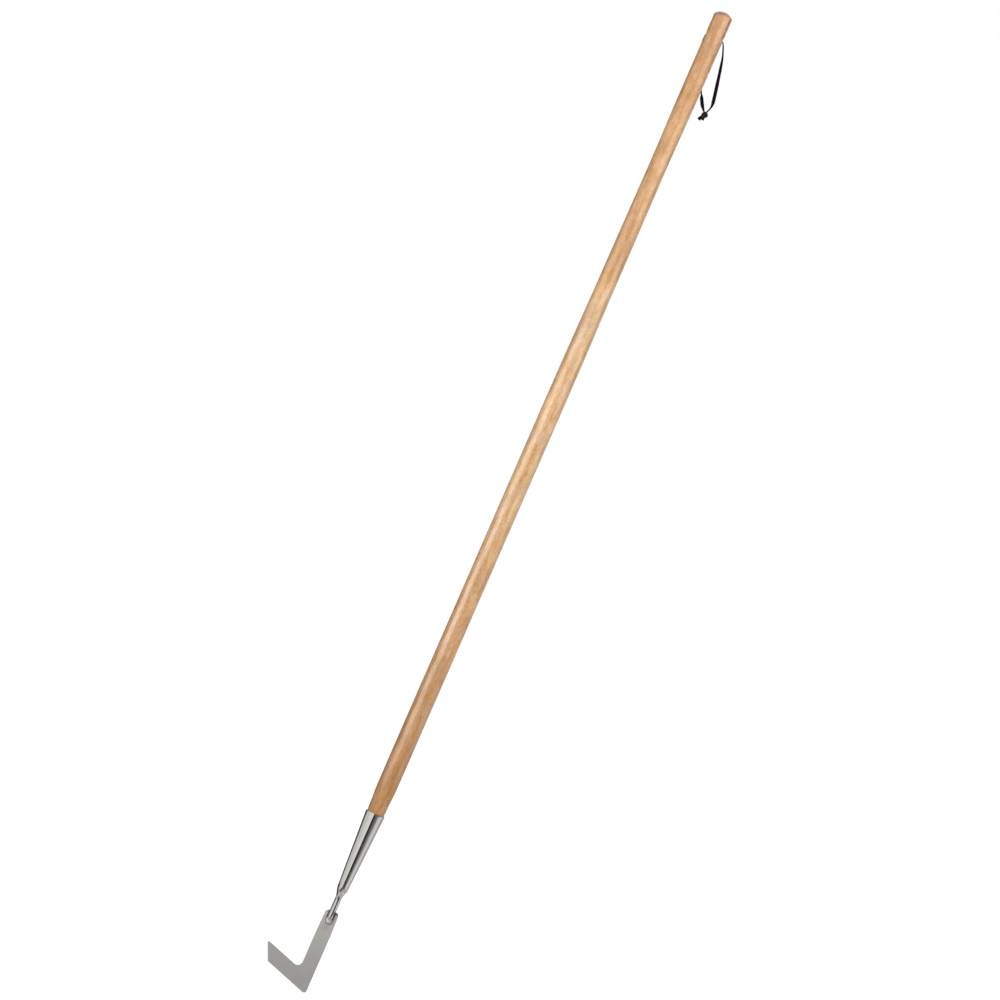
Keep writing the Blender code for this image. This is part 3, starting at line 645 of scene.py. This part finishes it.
def bar_points():
    """The turned bar, with a hemisphere at its lower end, and Y held to the flat below the blade's top."""
    turn = np.linspace(0.0, 0.5 * math.pi, 20)[:-1]
    shaft = np.linspace(BAR_TOP - BAR_CHAMFER, BAR_END + BAR_RADIUS, 30)[:-1]
    profile = np.concatenate([
        np.array([[BAR_RADIUS - BAR_CHAMFER, BAR_TOP]]),
        np.stack([np.full(len(shaft), BAR_RADIUS), shaft], axis=1),
        np.stack([BAR_RADIUS * np.cos(turn), BAR_END + BAR_RADIUS * (1.0 - np.sin(turn))], axis=1)])
    points = turned(profile, 64)
    lowered = smooth_step(-points[..., 2], -BLADE_TOP - 0.0012, -BLADE_TOP + 0.0002)
    points[..., 1] = np.minimum(points[..., 1], BAR_RADIUS - BAR_FLAT * lowered)
    return points


bar = capped_piece("bar", bar_points())
bar.data.materials.append(polished)
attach(bar, "tool")
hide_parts("neck_bar")


def neck_weld_points():
    """A turned ring. Its outside falls from the sheet's end to the bar as (1 - s)^1.3 with faint ripples
    round it, and its inside lies just under the bar's surface. A groove runs down its front, as deep as a
    Gaussian of the distance across to the fold's line, where the sheet's last edge is ground in."""
    share = np.linspace(0.0, 1.0, 48)
    top = SOCKET_END_Z + 0.0004
    foot = SOCKET_END_Z - 0.0003 - NECK_WELD_LENGTH
    outer = BAR_RADIUS + (SOCKET_END_RADIUS - BAR_RADIUS) * (1.0 - share) ** 1.3 + 0.00003
    inner = np.array([[BAR_RADIUS - 0.0002, foot], [BAR_RADIUS - 0.0002, top]])
    profile = np.concatenate([np.stack([outer, top + (foot - top) * share], axis=1), inner])
    points = turned(profile, 120)
    x, y, z = points[..., 0], points[..., 1], points[..., 2]
    angle = np.arctan2(x, -y)
    outside = np.r_[np.sin(math.pi * share), 0.0, 0.0][:, None]
    swell = 1.0 + 0.006 * np.sin(9.0 * angle + 2.0 * np.sin(angle)) * outside
    down = FOLD_TOP - z
    fold = FOLD_X + FOLD_SLOPE * np.maximum(down, 0.0) + FOLD_CROSSING * smooth_step(down, 0.0104, 0.0122)
    groove = np.exp(-((x - fold) / GROOVE_WIDTH) ** 2) * smooth_step(-y, 0.0, 0.0015) * (outside > 0.0)
    hollow = np.minimum(GROOVE_DEPTH, np.hypot(x, y) - BAR_RADIUS + 0.0001) * groove
    points[..., :2] *= (swell - hollow / np.hypot(x, y))[..., None]
    return points


neck_grid = neck_weld_points()
neck_weld = make_piece("neck_weld_ring", neck_grid, grid_faces(*neck_grid.shape[:2], wrap_rows=True))


def weld_finish():
    """Weld metal, ground and polished over: bright, with soft dimples, a brighter patch at the neck, a
    painted highlight on the bead, and painted shade in the creases round the bead and in the fold.
    """
    weld = Finish("weld_steel", metallic=1.0)
    dimples = weld.noise((0.0012, 0.0012, 0.0016), 2.0)
    # Painted shade in the fold and in the creases round the bead.
    shade_marks = fold_shade(weld).at_least(bead_crease_shade(weld)) * 0.9
    tint = weld.mix(colour(0.80, 0.78, 0.75), colour(0.62, 0.60, 0.575), dimples)
    # Painted highlight: a pale spot on the middle of the bead.
    bead_highlight = weld.spot((0.0010, BLADE_FRONT - 0.004, -1.3495), (0.0048, 0.02, 0.0060))
    buffed_and_highlight = weld.spot(BUFFED_CENTRE, BUFFED_REACH).at_least(bead_highlight)
    tint = weld.mix(tint, colour(0.98, 0.96, 0.93), buffed_and_highlight)
    weld.set(base_color=weld.mix(tint, colour(0.055, 0.048, 0.042), shade_marks),
             roughness=dimples * 0.14 + 0.46, normal=weld.bump(dimples, 0.00025, 0.5))
    return weld.material


weld = weld_finish()
neck_weld.data.materials.append(weld)
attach(neck_weld, "tool")
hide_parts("neck_weld")


# Blade
# A flat stainless strip in an L, about 3 mm thick, with a satin finish. The lower edge of the hook and its
# end are ground to a cutting edge on the front. Its shape is the model's own.

BLADE_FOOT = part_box("blade")[0].z


def satin_finish():
    """Satin stainless steel: brushed along the shank, with slow clouds of tone, duller towards the hook,
    darker where the edges are ground, with painted shade round the bead, a painted shadow of the bar on its
    right and at the top right corner, and a straw tint below the bead."""
    satin = Finish("satin_steel", metallic=1.0)
    brushing = satin.noise((0.00030, 0.0010, 0.010), 3.0, 0.6)
    cloud = satin.noise((0.011, 0.011, 0.014), 2.0)
    facing = satin.node("SeparateXYZ", sockets={"Vector": satin.node("TexCoord", out="Normal")}, out="Y")
    tint = satin.mix(colour(0.86, 0.84, 0.815), colour(0.76, 0.74, 0.715), cloud)
    tint = satin.mix(tint, colour(0.62, 0.60, 0.58), brushing.between(0.50, 0.80) * 0.4)
    straw = satin.spot((-0.001, BLADE_FRONT, -1.3600), (0.009, 0.02, 0.008)) * 0.5
    tint = satin.mix(tint, colour(0.64, 0.59, 0.46), straw)
    lowered = (-satin.axes()[2]).between(1.355, 1.440)
    tint = satin.mix(tint, colour(0.82, 0.81, 0.80), lowered, "MULTIPLY")
    tint = satin.mix(tint, colour(0.42, 0.41, 0.395), facing.between(-0.98, -0.90) * 0.85)
    # Painted shade: the blade's top right corner beside the bar, in the bar's shadow, and the creases round
    # the bead.
    corner = satin.spot((0.0072, BLADE_FRONT, -1.3373), (0.0038, 0.02, 0.0030))
    shade_marks = bead_crease_shade(satin).at_least(corner) * 0.9
    tint = satin.mix(tint, colour(0.065, 0.058, 0.050), shade_marks)
    satin.set(base_color=tint, roughness=brushing * 0.10 + 0.40, normal=satin.bump(brushing, 0.00002, 0.3))
    return satin.material


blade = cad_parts["blade"]
blade.data.materials.clear()
blade.data.materials.append(satin_finish())


# Blade weld
# The bead that holds the bar on the blade: a low mound of weld metal round the bar's end, laid as a run of
# puddles whose ripples still show.

BEAD_SIDE = 0.0024
BEAD_BELOW = 0.0074
BEAD_HEIGHT = 0.0062
BEAD_RISE = 0.0085
RIPPLE_LENGTH = 0.0013


def bead_points():
    """A mound on the blade's face: rings of share s from the middle to the rim |x/a|^2.6 + |z/b|^2.6 = 1,
    with height sqrt(1 - s^2), and ripples in the distance from the middle of the bar's domed end."""
    share = np.sin(np.linspace(0.02, 0.5 * math.pi, 40))[:, None]
    angle = np.linspace(0.0, 2.0 * math.pi, 80, endpoint=False)[None, :]
    half_height = 0.5 * (BEAD_RISE + BEAD_BELOW)
    middle_z = BAR_END + 0.5 * (BEAD_RISE - BEAD_BELOW)
    rim = (np.abs(np.sin(angle)) ** 2.6 + np.abs(np.cos(angle)) ** 2.6) ** (-1.0 / 2.6)
    x = (BAR_RADIUS + BEAD_SIDE) * share * rim * np.sin(angle)
    z = middle_z + half_height * share * rim * np.cos(angle)
    rise = np.sqrt(np.clip(1.0 - share ** 2, 0.0, 1.0)) + 0.0 * angle
    away = np.hypot(x, z - (BAR_END + BAR_RADIUS))
    ripple = 0.00010 * np.sin(2.0 * math.pi * away / RIPPLE_LENGTH) * smooth_step(rise, 0.05, 0.4)
    y = BLADE_FRONT - BEAD_HEIGHT * rise - ripple
    return np.stack([x, y, z], axis=-1)


bead = capped_piece("bead", bead_points()[:, ::-1])
bead.data.set_sharp_from_angle(angle=math.radians(50.0))
bead.data.materials.append(weld)
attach(bead, "tool")
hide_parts("blade_weld")


# Leather loop
# One flat lace of waxed dark leather, about 5 mm by 1.7 mm, passed through the hole. The strand on the left
# winds round the back of the pole, and both end in an overhand knot with two short tails.

LACE_WIDTH = 0.0050
LACE_THICKNESS = 0.0017
LAID_THICKNESS = 0.0010
LAID_RADIUS = 0.0139
LAID_SINK = 0.0013
HOLE_LACE_WIDTH = 0.0036
LACE_SPACING = 0.0006

RIGHT_ROUTE = (
    (0.00015, 0.0, -0.0012), (0.0070, 0.0, -0.0012), (0.0112, 0.0, -0.0012), (0.0141, 0.0, -0.0025),
    (0.0161, 0.0, -0.0056), (0.0184, 0.0, -0.0112), (0.0207, 0.0, -0.0172), (0.0232, 0.0, -0.0256),
    (0.0259, 0.0, -0.0378), (0.0285, 0.0001, -0.0504), (0.0311, 0.0003, -0.0630), (0.0336, 0.0005, -0.0757),
    (0.0351, 0.0008, -0.0843), (0.0355, 0.0011, -0.0888), (0.0348, 0.0015, -0.0935),
    (0.0328, 0.0020, -0.0985),
)
LEFT_ROUTE = (
    (-0.00015, 0.0, -0.0012), (-0.0066, 0.0, -0.0012), (-0.0104, 0.0, -0.0012), (-0.0135, 0.0008, -0.0019),
    (-0.0152, 0.0032, -0.0045), (-0.0146, 0.0060, -0.0082), (-0.0128, 0.0091, -0.0130),
    (-0.0088, 0.0130, -0.0225), (-0.0024, 0.0154, -0.0390), (0.0045, 0.0150, -0.0560),
    (0.0091, 0.0135, -0.0665), (0.0131, 0.0119, -0.0745), (0.0163, 0.0103, -0.0806),
    (0.0193, 0.0087, -0.0865), (0.0226, 0.0071, -0.0925), (0.0259, 0.0056, -0.0974),
    (0.0284, 0.0045, -0.1004),
)


def smooth_route(route, spacing):
    """Points at equal spacing along the smooth (Catmull-Rom) curve through the route's own points."""
    knots = np.array(route)
    padded = np.vstack([2 * knots[0] - knots[1], knots, 2 * knots[-1] - knots[-2]])
    a, b, c, d = (padded[i:len(knots) - 1 + i, None, :] for i in range(4))
    t = np.linspace(0.0, 1.0, 24, endpoint=False)[None, :, None]
    dense = 0.5 * (2 * b + (c - a) * t + (2 * a - 5 * b + 4 * c - d) * t ** 2
                   + (3 * b - a - 3 * c + d) * t ** 3)
    dense = np.vstack([dense.reshape(-1, 3), knots[-1]])
    along = np.concatenate([[0.0], np.cumsum(np.linalg.norm(np.diff(dense, axis=0), axis=1))])
    wanted = np.linspace(0.0, along[-1], max(2, int(round(along[-1] / spacing)) + 1))
    return np.stack([np.interp(wanted, along, dense[:, k]) for k in range(3)], axis=1)


def blend_keys(keys, count):
    """Values at equal steps of the length, blended between the keys (share of the length, value)."""
    share = np.linspace(0.0, 1.0, count)
    places = [place for place, _ in keys]
    values = np.array([np.atleast_1d(value) for _, value in keys], dtype=float)
    return np.stack([np.interp(share, places, values[:, k]) for k in range(values.shape[1])], axis=1)


def unit(vectors):
    """The vectors of an array, each scaled to length 1."""
    return vectors / np.linalg.norm(vectors, axis=-1, keepdims=True)


def strap_points(path, looks, widths, depths, closed=False):
    """A flat strap along a path, as rings of points. Each ring is the superellipse |u/a|^3 + |v/b|^3 = 1,
    with half width a across the strap and half depth b in the direction that its face looks in."""
    if closed:
        tangent = unit(np.roll(path, -1, axis=0) - np.roll(path, 1, axis=0))
    else:
        tangent = unit(np.gradient(path, axis=0))
    normal = unit(looks - np.sum(looks * tangent, axis=1, keepdims=True) * tangent)
    side = np.cross(tangent, normal)
    turn = np.linspace(0.0, 2.0 * math.pi, 28, endpoint=False)[None, :]
    u = np.sign(np.cos(turn)) * np.abs(np.cos(turn)) ** (2.0 / 3.0)
    v = np.sign(np.sin(turn)) * np.abs(np.sin(turn)) ** (2.0 / 3.0)
    return path[:, None, :] + side[:, None, :] * (0.5 * u * widths)[..., None] \
        + normal[:, None, :] * (0.5 * v * depths)[..., None]


def make_straps(name, straps):
    """One piece from several straps (points, closed), with an attribute that is 1 on their cut edges."""
    points, faces, caps, rims = [], [], [], []
    base = 0
    for rings, closed in straps:
        rows, columns = rings.shape[:2]
        points.append(rings.reshape(-1, 3))
        faces.append(base + grid_faces(rows, columns, wrap_rows=closed)[:, ::-1])
        if not closed:
            caps.append(range(base, base + columns))
            caps.append(range(base + rows * columns - 1, base + (rows - 1) * columns - 1, -1))
        across = np.abs(np.cos(np.linspace(0.0, 2.0 * math.pi, columns, endpoint=False)))
        rims.append(np.tile(across, rows))
        base += rows * columns
    piece = make_piece(name, np.concatenate(points), np.concatenate(faces), caps)
    add_attribute(piece, "cut_edge", np.concatenate(rims))
    return piece


def lace_strand(name, path, look_keys, width_keys, depth_keys):
    """One strand of the lace along a path."""
    count = len(path)
    rings = strap_points(path, blend_keys(look_keys, count), blend_keys(width_keys, count),
                         blend_keys(depth_keys, count))
    return make_straps(name, [(rings, False)])


def lay_on_pole(path):
    """The path drawn in towards the pole's axis where it goes round the pole, so that the flat lace lies on
    the wood: to 13.9 mm from the axis, and less and less from 15.9 mm out to 17.5 mm. Where it leaves the
    hole it sinks further, into the countersink, by a Gaussian of the height."""
    from_axis = np.hypot(path[:, 0], path[:, 1])
    wanted = LAID_RADIUS + (from_axis - LAID_RADIUS) * smooth_step(from_axis, 0.0159, 0.0175)
    sunk = np.exp(-((path[:, 2] + 0.0020) / 0.0027) ** 2) * smooth_step(from_axis, 0.0105, 0.0130)
    wanted -= LAID_SINK * sunk
    scale = np.minimum(wanted / from_axis, 1.0)
    return path * np.stack([scale, scale, np.ones(len(path))], axis=1)


right_path = smooth_route(RIGHT_ROUTE, LACE_SPACING)
left_path = lay_on_pole(smooth_route(LEFT_ROUTE, LACE_SPACING))

right_lace = lace_strand("right_lace", right_path, (
    (0.0, (0.0, 0.0, 1.0)), (0.10, (0.1, 0.0, 1.0)), (0.15, (0.75, -0.20, 0.65)), (0.21, (0.90, -0.30, 0.40)),
    (0.30, (0.87, -0.40, 0.30)), (0.375, (0.77, -0.60, 0.22)), (0.42, (0.67, -0.72, 0.18)),
    (0.53, (0.52, -0.85, 0.12)), (0.61, (0.38, -0.92, 0.10)), (0.68, (0.16, -0.98, 0.05)),
    (0.79, (0.06, -0.99, 0.0)), (0.87, (-0.20, -0.97, 0.0)), (0.90, (-0.70, -0.71, 0.0)),
    (0.935, (-0.88, -0.47, 0.0)), (0.97, (-0.97, -0.25, 0.0)), (1.0, (-0.95, -0.30, -0.2))),
    ((0.0, HOLE_LACE_WIDTH), (0.09, HOLE_LACE_WIDTH), (0.16, LACE_WIDTH), (0.875, LACE_WIDTH),
     (0.905, 0.0044), (0.94, 0.0038), (0.97, 0.0030), (1.0, 0.0026)),
    ((0.0, LACE_THICKNESS), (1.0, LACE_THICKNESS)))
left_lace = lace_strand("left_lace", left_path, (
    (0.0, (0.0, 0.0, 1.0)), (0.07, (0.0, 0.0, 1.0)), (0.105, (-0.9, 0.0, 0.6)), (0.14, (-0.98, 0.2, 0.0)),
    (0.17, (-0.92, 0.38, 0.0)), (0.21, (-0.82, 0.57, 0.0)), (0.29, (-0.56, 0.83, 0.0)),
    (0.43, (-0.15, 0.99, 0.0)), (0.58, (0.29, 0.96, 0.0)), (0.68, (0.60, 0.80, 0.0)),
    (0.757, (0.97, 0.24, 0.0)), (0.800, (0.995, 0.08, 0.0)), (0.832, (0.60, 0.80, 0.0)),
    (0.865, (0.25, 0.97, 0.0)), (0.90, (0.12, 0.99, 0.0)), (0.935, (0.0, 1.0, 0.0)),
    (0.968, (-0.60, 0.8, 0.1)), (1.0, (-0.80, 0.55, 0.2))),
    ((0.0, HOLE_LACE_WIDTH), (0.09, HOLE_LACE_WIDTH), (0.16, LACE_WIDTH), (0.935, LACE_WIDTH),
     (0.968, 0.0038), (1.0, 0.0030)),
    ((0.0, LACE_THICKNESS), (0.09, LACE_THICKNESS), (0.14, LAID_THICKNESS), (0.58, LAID_THICKNESS),
     (0.68, 0.0013), (0.80, 0.0013), (0.84, LACE_THICKNESS), (1.0, LACE_THICKNESS)))

KNOT_CENTRE = np.array((0.0312, 0.0030, -0.1045))
KNOT_RING = 0.00216
KNOT_TUBE = 0.00150
KNOT_STRETCH = 1.30
KNOT_STRAP_WIDTH = 0.0036
KNOT_STRAP_DEPTH = 0.0019


def knot_rings():
    """The knot as a trefoil drawn tight: the path runs twice round a ring and three times round its tube,
    ((R + r cos 3t) cos 2t, (R + r cos 3t) sin 2t, k r sin 3t), where k stretches it front to back, and the
    strap lies flat on that tube."""
    t = np.linspace(0.0, 2.0 * math.pi, 220, endpoint=False)
    reach = KNOT_RING + KNOT_TUBE * np.cos(3.0 * t)
    path = np.stack([reach * np.cos(2.0 * t), KNOT_STRETCH * KNOT_TUBE * np.sin(3.0 * t),
                     reach * np.sin(2.0 * t)], axis=1)
    outward = np.stack([np.cos(3.0 * t) * np.cos(2.0 * t), np.sin(3.0 * t),
                        np.cos(3.0 * t) * np.sin(2.0 * t)], axis=1)
    tilt = np.array(Matrix.Rotation(math.radians(24.0), 3, "X") @ Matrix.Rotation(math.radians(35.0), 3, "Y"))
    rings = strap_points(path @ tilt.T, outward @ tilt.T, np.full((len(t), 1), KNOT_STRAP_WIDTH),
                         np.full((len(t), 1), KNOT_STRAP_DEPTH), closed=True)
    return rings + KNOT_CENTRE


def tail_rings(end, bend, look, width):
    """A short strap from inside the knot, through a bend, to its straight-cut end."""
    path = KNOT_CENTRE + smooth_route(((0.0, 0.0, 0.0), bend, end), 0.0004)
    count = len(path)
    return strap_points(path, np.broadcast_to(np.array(look, dtype=float), (count, 3)),
                        np.full((count, 1), width), np.full((count, 1), LACE_THICKNESS))


knot = make_straps("lace_knot", [(knot_rings(), True)] + [(tail_rings(*strap), False) for strap in (
    ((-0.0054, -0.0014, -0.0096), (-0.0030, -0.0010, -0.0046), (0.20, -0.95, 0.1), 0.0048),
    ((0.0003, 0.0014, -0.0081), (-0.0002, 0.0010, -0.0040), (0.45, -0.85, 0.0), 0.0038),
    ((0.0017, -0.0010, 0.0062), (0.0009, -0.0005, 0.0034), (-0.95, -0.3, -0.2), 0.0024),
    ((-0.0029, 0.0016, 0.0043), (-0.0013, 0.0008, 0.0022), (-0.8, 0.55, 0.2), 0.0028))])


def leather_finish():
    """Waxed dark leather: nearly black with a fine grain, with a painted purplish-brown sheen in patches on
    the knot, and a little paler on the cut edges, where the raw hide shows."""
    leather = Finish("dark_leather", specular_ior_level=0.03)
    depth = -leather.axes()[2]
    grain = leather.noise((0.0005, 0.0005, 0.0005), 3.0, 0.65)
    wear = leather.noise((0.004, 0.004, 0.006), 2.0)
    sheen_patches = leather.noise((0.0014, 0.0014, 0.0014), 2.0)
    edge = leather.node("Attribute", {"attribute_name": "cut_edge"}, out="Fac")
    face = leather.mix(colour(0.0045, 0.0028, 0.0026), colour(0.0150, 0.0085, 0.0088),
                       wear.between(0.35, 0.75))
    raw = leather.mix(colour(0.030, 0.023, 0.020), colour(0.014, 0.010, 0.009), grain)
    face = leather.mix(face, raw, edge.between(0.95, 1.0) * 0.6)
    # Painted sheen: lighter purplish-brown patches on the knot.
    knot_sheen = leather.mix(colour(0.0090, 0.0040, 0.0040), colour(0.0860, 0.0400, 0.0380),
                          sheen_patches.between(0.26, 0.82))
    knotted = depth.between(0.0990, 0.1015) * (1.0 - depth.between(0.1085, 0.1102))
    leather.set(base_color=leather.mix(face, knot_sheen, knotted), roughness=grain * 0.20 + 0.45,
                normal=leather.bump(grain, 0.00006, 0.6))
    return leather.material


leather = leather_finish()
for lace, node in ((right_lace, "thong_right"), (left_lace, "thong_left"), (knot, "thong_knot")):
    lace.data.materials.append(leather)
    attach(lace, "loop")
    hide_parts(node)


# Studio
# A pale floor under the heel of the blade, a white surround, a soft lamp at each side and one behind, two
# window-like lamps that show only in the lacquer, and the camera, which looks level and is rolled.

FLOOR_HALF = 7.0
floor = make_piece("floor", np.array([[sx * FLOOR_HALF, sy * FLOOR_HALF, BLADE_FOOT]
                                      for sx, sy in ((-1, -1), (1, -1), (1, 1), (-1, 1))]),
                   np.array([[0, 1, 2, 3]]), smooth=False)
floor.visible_glossy = False


def seen_directly(finish):
    """1 for rays from the camera, off shiny metal or through glass, else 0."""
    outputs = finish.node("LightPath").socket.node.outputs
    camera_ray, glossy_ray, through_ray = (Signal(finish.tree, outputs[name]) for name in (
        "Is Camera Ray", "Is Glossy Ray", "Is Transmission Ray"))
    return (camera_ray + glossy_ray + through_ray).math("MINIMUM", 1.0)


def floor_finish():
    """White floor: what is seen of it is mostly its own white, and the rest takes the tool's shadow."""
    white = Finish("floor_white", base_color=colour(0.8, 0.8, 0.8), roughness=0.9, specular_ior_level=0.0)
    glow = white.node("Emission", sockets={"Color": colour(1.0, 1.0, 1.0), "Strength": 0.93})
    lit = white.node("BsdfDiffuse", sockets={"Color": colour(0.2, 0.2, 0.2)})
    both = white.node("AddShader", sockets={0: glow, 1: lit})
    surface = white.node("MixShader", sockets={
        0: seen_directly(white), 1: Signal(white.tree, white.shader.outputs[0]), 2: both})
    output = white.tree.nodes["Material Output"]
    white.tree.links.new(surface.socket, output.inputs["Surface"])
    return white.material


floor.data.materials.append(floor_finish())

world = bpy.data.worlds.new("surround")
bpy.context.scene.world = world
world.use_nodes = True


class Surround(Finish):
    """The world's nodes, made in the same way as a finish."""

    def __init__(self, made):
        self.tree = made.node_tree
        self.background = self.tree.nodes["Background"]


def light_surround():
    """White all round. Shiny metal sees greys in it instead, by compass direction, as of white and black
    cards round the tool: a dark one in front to the right, and a dark one behind to the left."""
    sky = Surround(world)
    direction = sky.node("TexCoord", out="Generated")
    split = sky.node("SeparateXYZ", sockets={"Vector": direction}).socket.node.outputs
    x, y = (Signal(sky.tree, split[name]) for name in ("X", "Y"))
    compass = x.math("ARCTAN2", -y) * (0.5 / math.pi) + 0.5
    cards = ((-180, 0.80), (-170, 0.70), (-160, 0.05), (-121, 0.05), (-107, 0.48), (-96, 0.80), (-76, 0.76),
             (-55, 0.88), (-35, 1.0), (-5, 1.0), (2, 0.12), (8, 0.05), (30, 0.07), (44, 0.24), (58, 0.70),
             (66, 0.84), (95, 0.84), (110, 0.50), (150, 0.40), (180, 0.80))
    greys = [((degrees + 180.0) / 360.0, colour(level, level, level)) for degrees, level in cards]
    seen_in_metal = sky.node("ValToRGB", {"stops": greys}, {"Fac": compass})
    glossy = Signal(sky.tree, sky.node("LightPath").socket.node.outputs["Is Glossy Ray"])
    join(sky.tree, sky.mix(colour(1.0, 1.0, 1.0), seen_in_metal, glossy), sky.background.inputs["Color"])
    join(sky.tree, seen_directly(sky) * 0.55 + 0.45, sky.background.inputs["Strength"])


light_surround()


def add_lamp(name, place, width, height, power):
    """A soft lamp, width by height, at a place, facing the tool's middle."""
    data = bpy.data.lights.new(name, "AREA")
    data.shape = "RECTANGLE"
    data.size = width
    data.size_y = height
    data.energy = power
    lamp = bpy.data.objects.new(name, data)
    lamp.location = place
    lamp.rotation_euler = (Vector(TOOL_MIDDLE) - lamp.location).to_track_quat("-Z", "Y").to_euler()
    bpy.context.scene.collection.objects.link(lamp)
    return lamp


TOOL_MIDDLE = (0.0, 0.0, -0.714)
add_lamp("key_lamp", (-2.3, -3.3, 0.9), 2.0, 2.0, 70.0).visible_glossy = False
add_lamp("fill_lamp", (2.6, -2.9, 0.1), 2.4, 2.4, 62.0).visible_glossy = False
add_lamp("back_lamp", (-0.6, 3.6, 0.3), 2.4, 2.4, 48.0).visible_glossy = False

lacquered = bpy.data.collections.new("lacquered")
lacquered.objects.link(pole)
WINDOW_DISTANCE = 3.0
for side, degrees, height, width, tall, power in (
        ("left", -50.0, -0.79, 3.0, 1.10, 46.0), ("right", 46.0, 0.35, 3.8, 1.3, 34.0)):
    away = math.radians(degrees)
    place = (WINDOW_DISTANCE * math.sin(away), -WINDOW_DISTANCE * math.cos(away), height)
    window = add_lamp(side + "_window", place, width, tall, power)
    window.visible_diffuse = False
    window.light_linking.receiver_collection = lacquered

CAMERA_DISTANCE = 5.0
FRAME_WIDTH = 1.400
VIEW_CENTRE = Vector((-0.0157, 0.0, -0.7136))
CAMERA_ROLL = math.radians(23.585)

camera_data = bpy.data.cameras.new("camera")
camera_data.sensor_width = 36.0
camera_data.lens = camera_data.sensor_width * CAMERA_DISTANCE / FRAME_WIDTH
camera = bpy.data.objects.new("camera", camera_data)
camera.location = VIEW_CENTRE - Vector((0.0, CAMERA_DISTANCE, 0.0))
level = Matrix.Rotation(math.radians(90.0), 4, "X")
camera.rotation_euler = (Matrix.Rotation(-CAMERA_ROLL, 4, "Y") @ level).to_euler()
bpy.context.scene.collection.objects.link(camera)
bpy.context.scene.camera = camera
bpy.context.scene.view_settings.view_transform = "Standard"
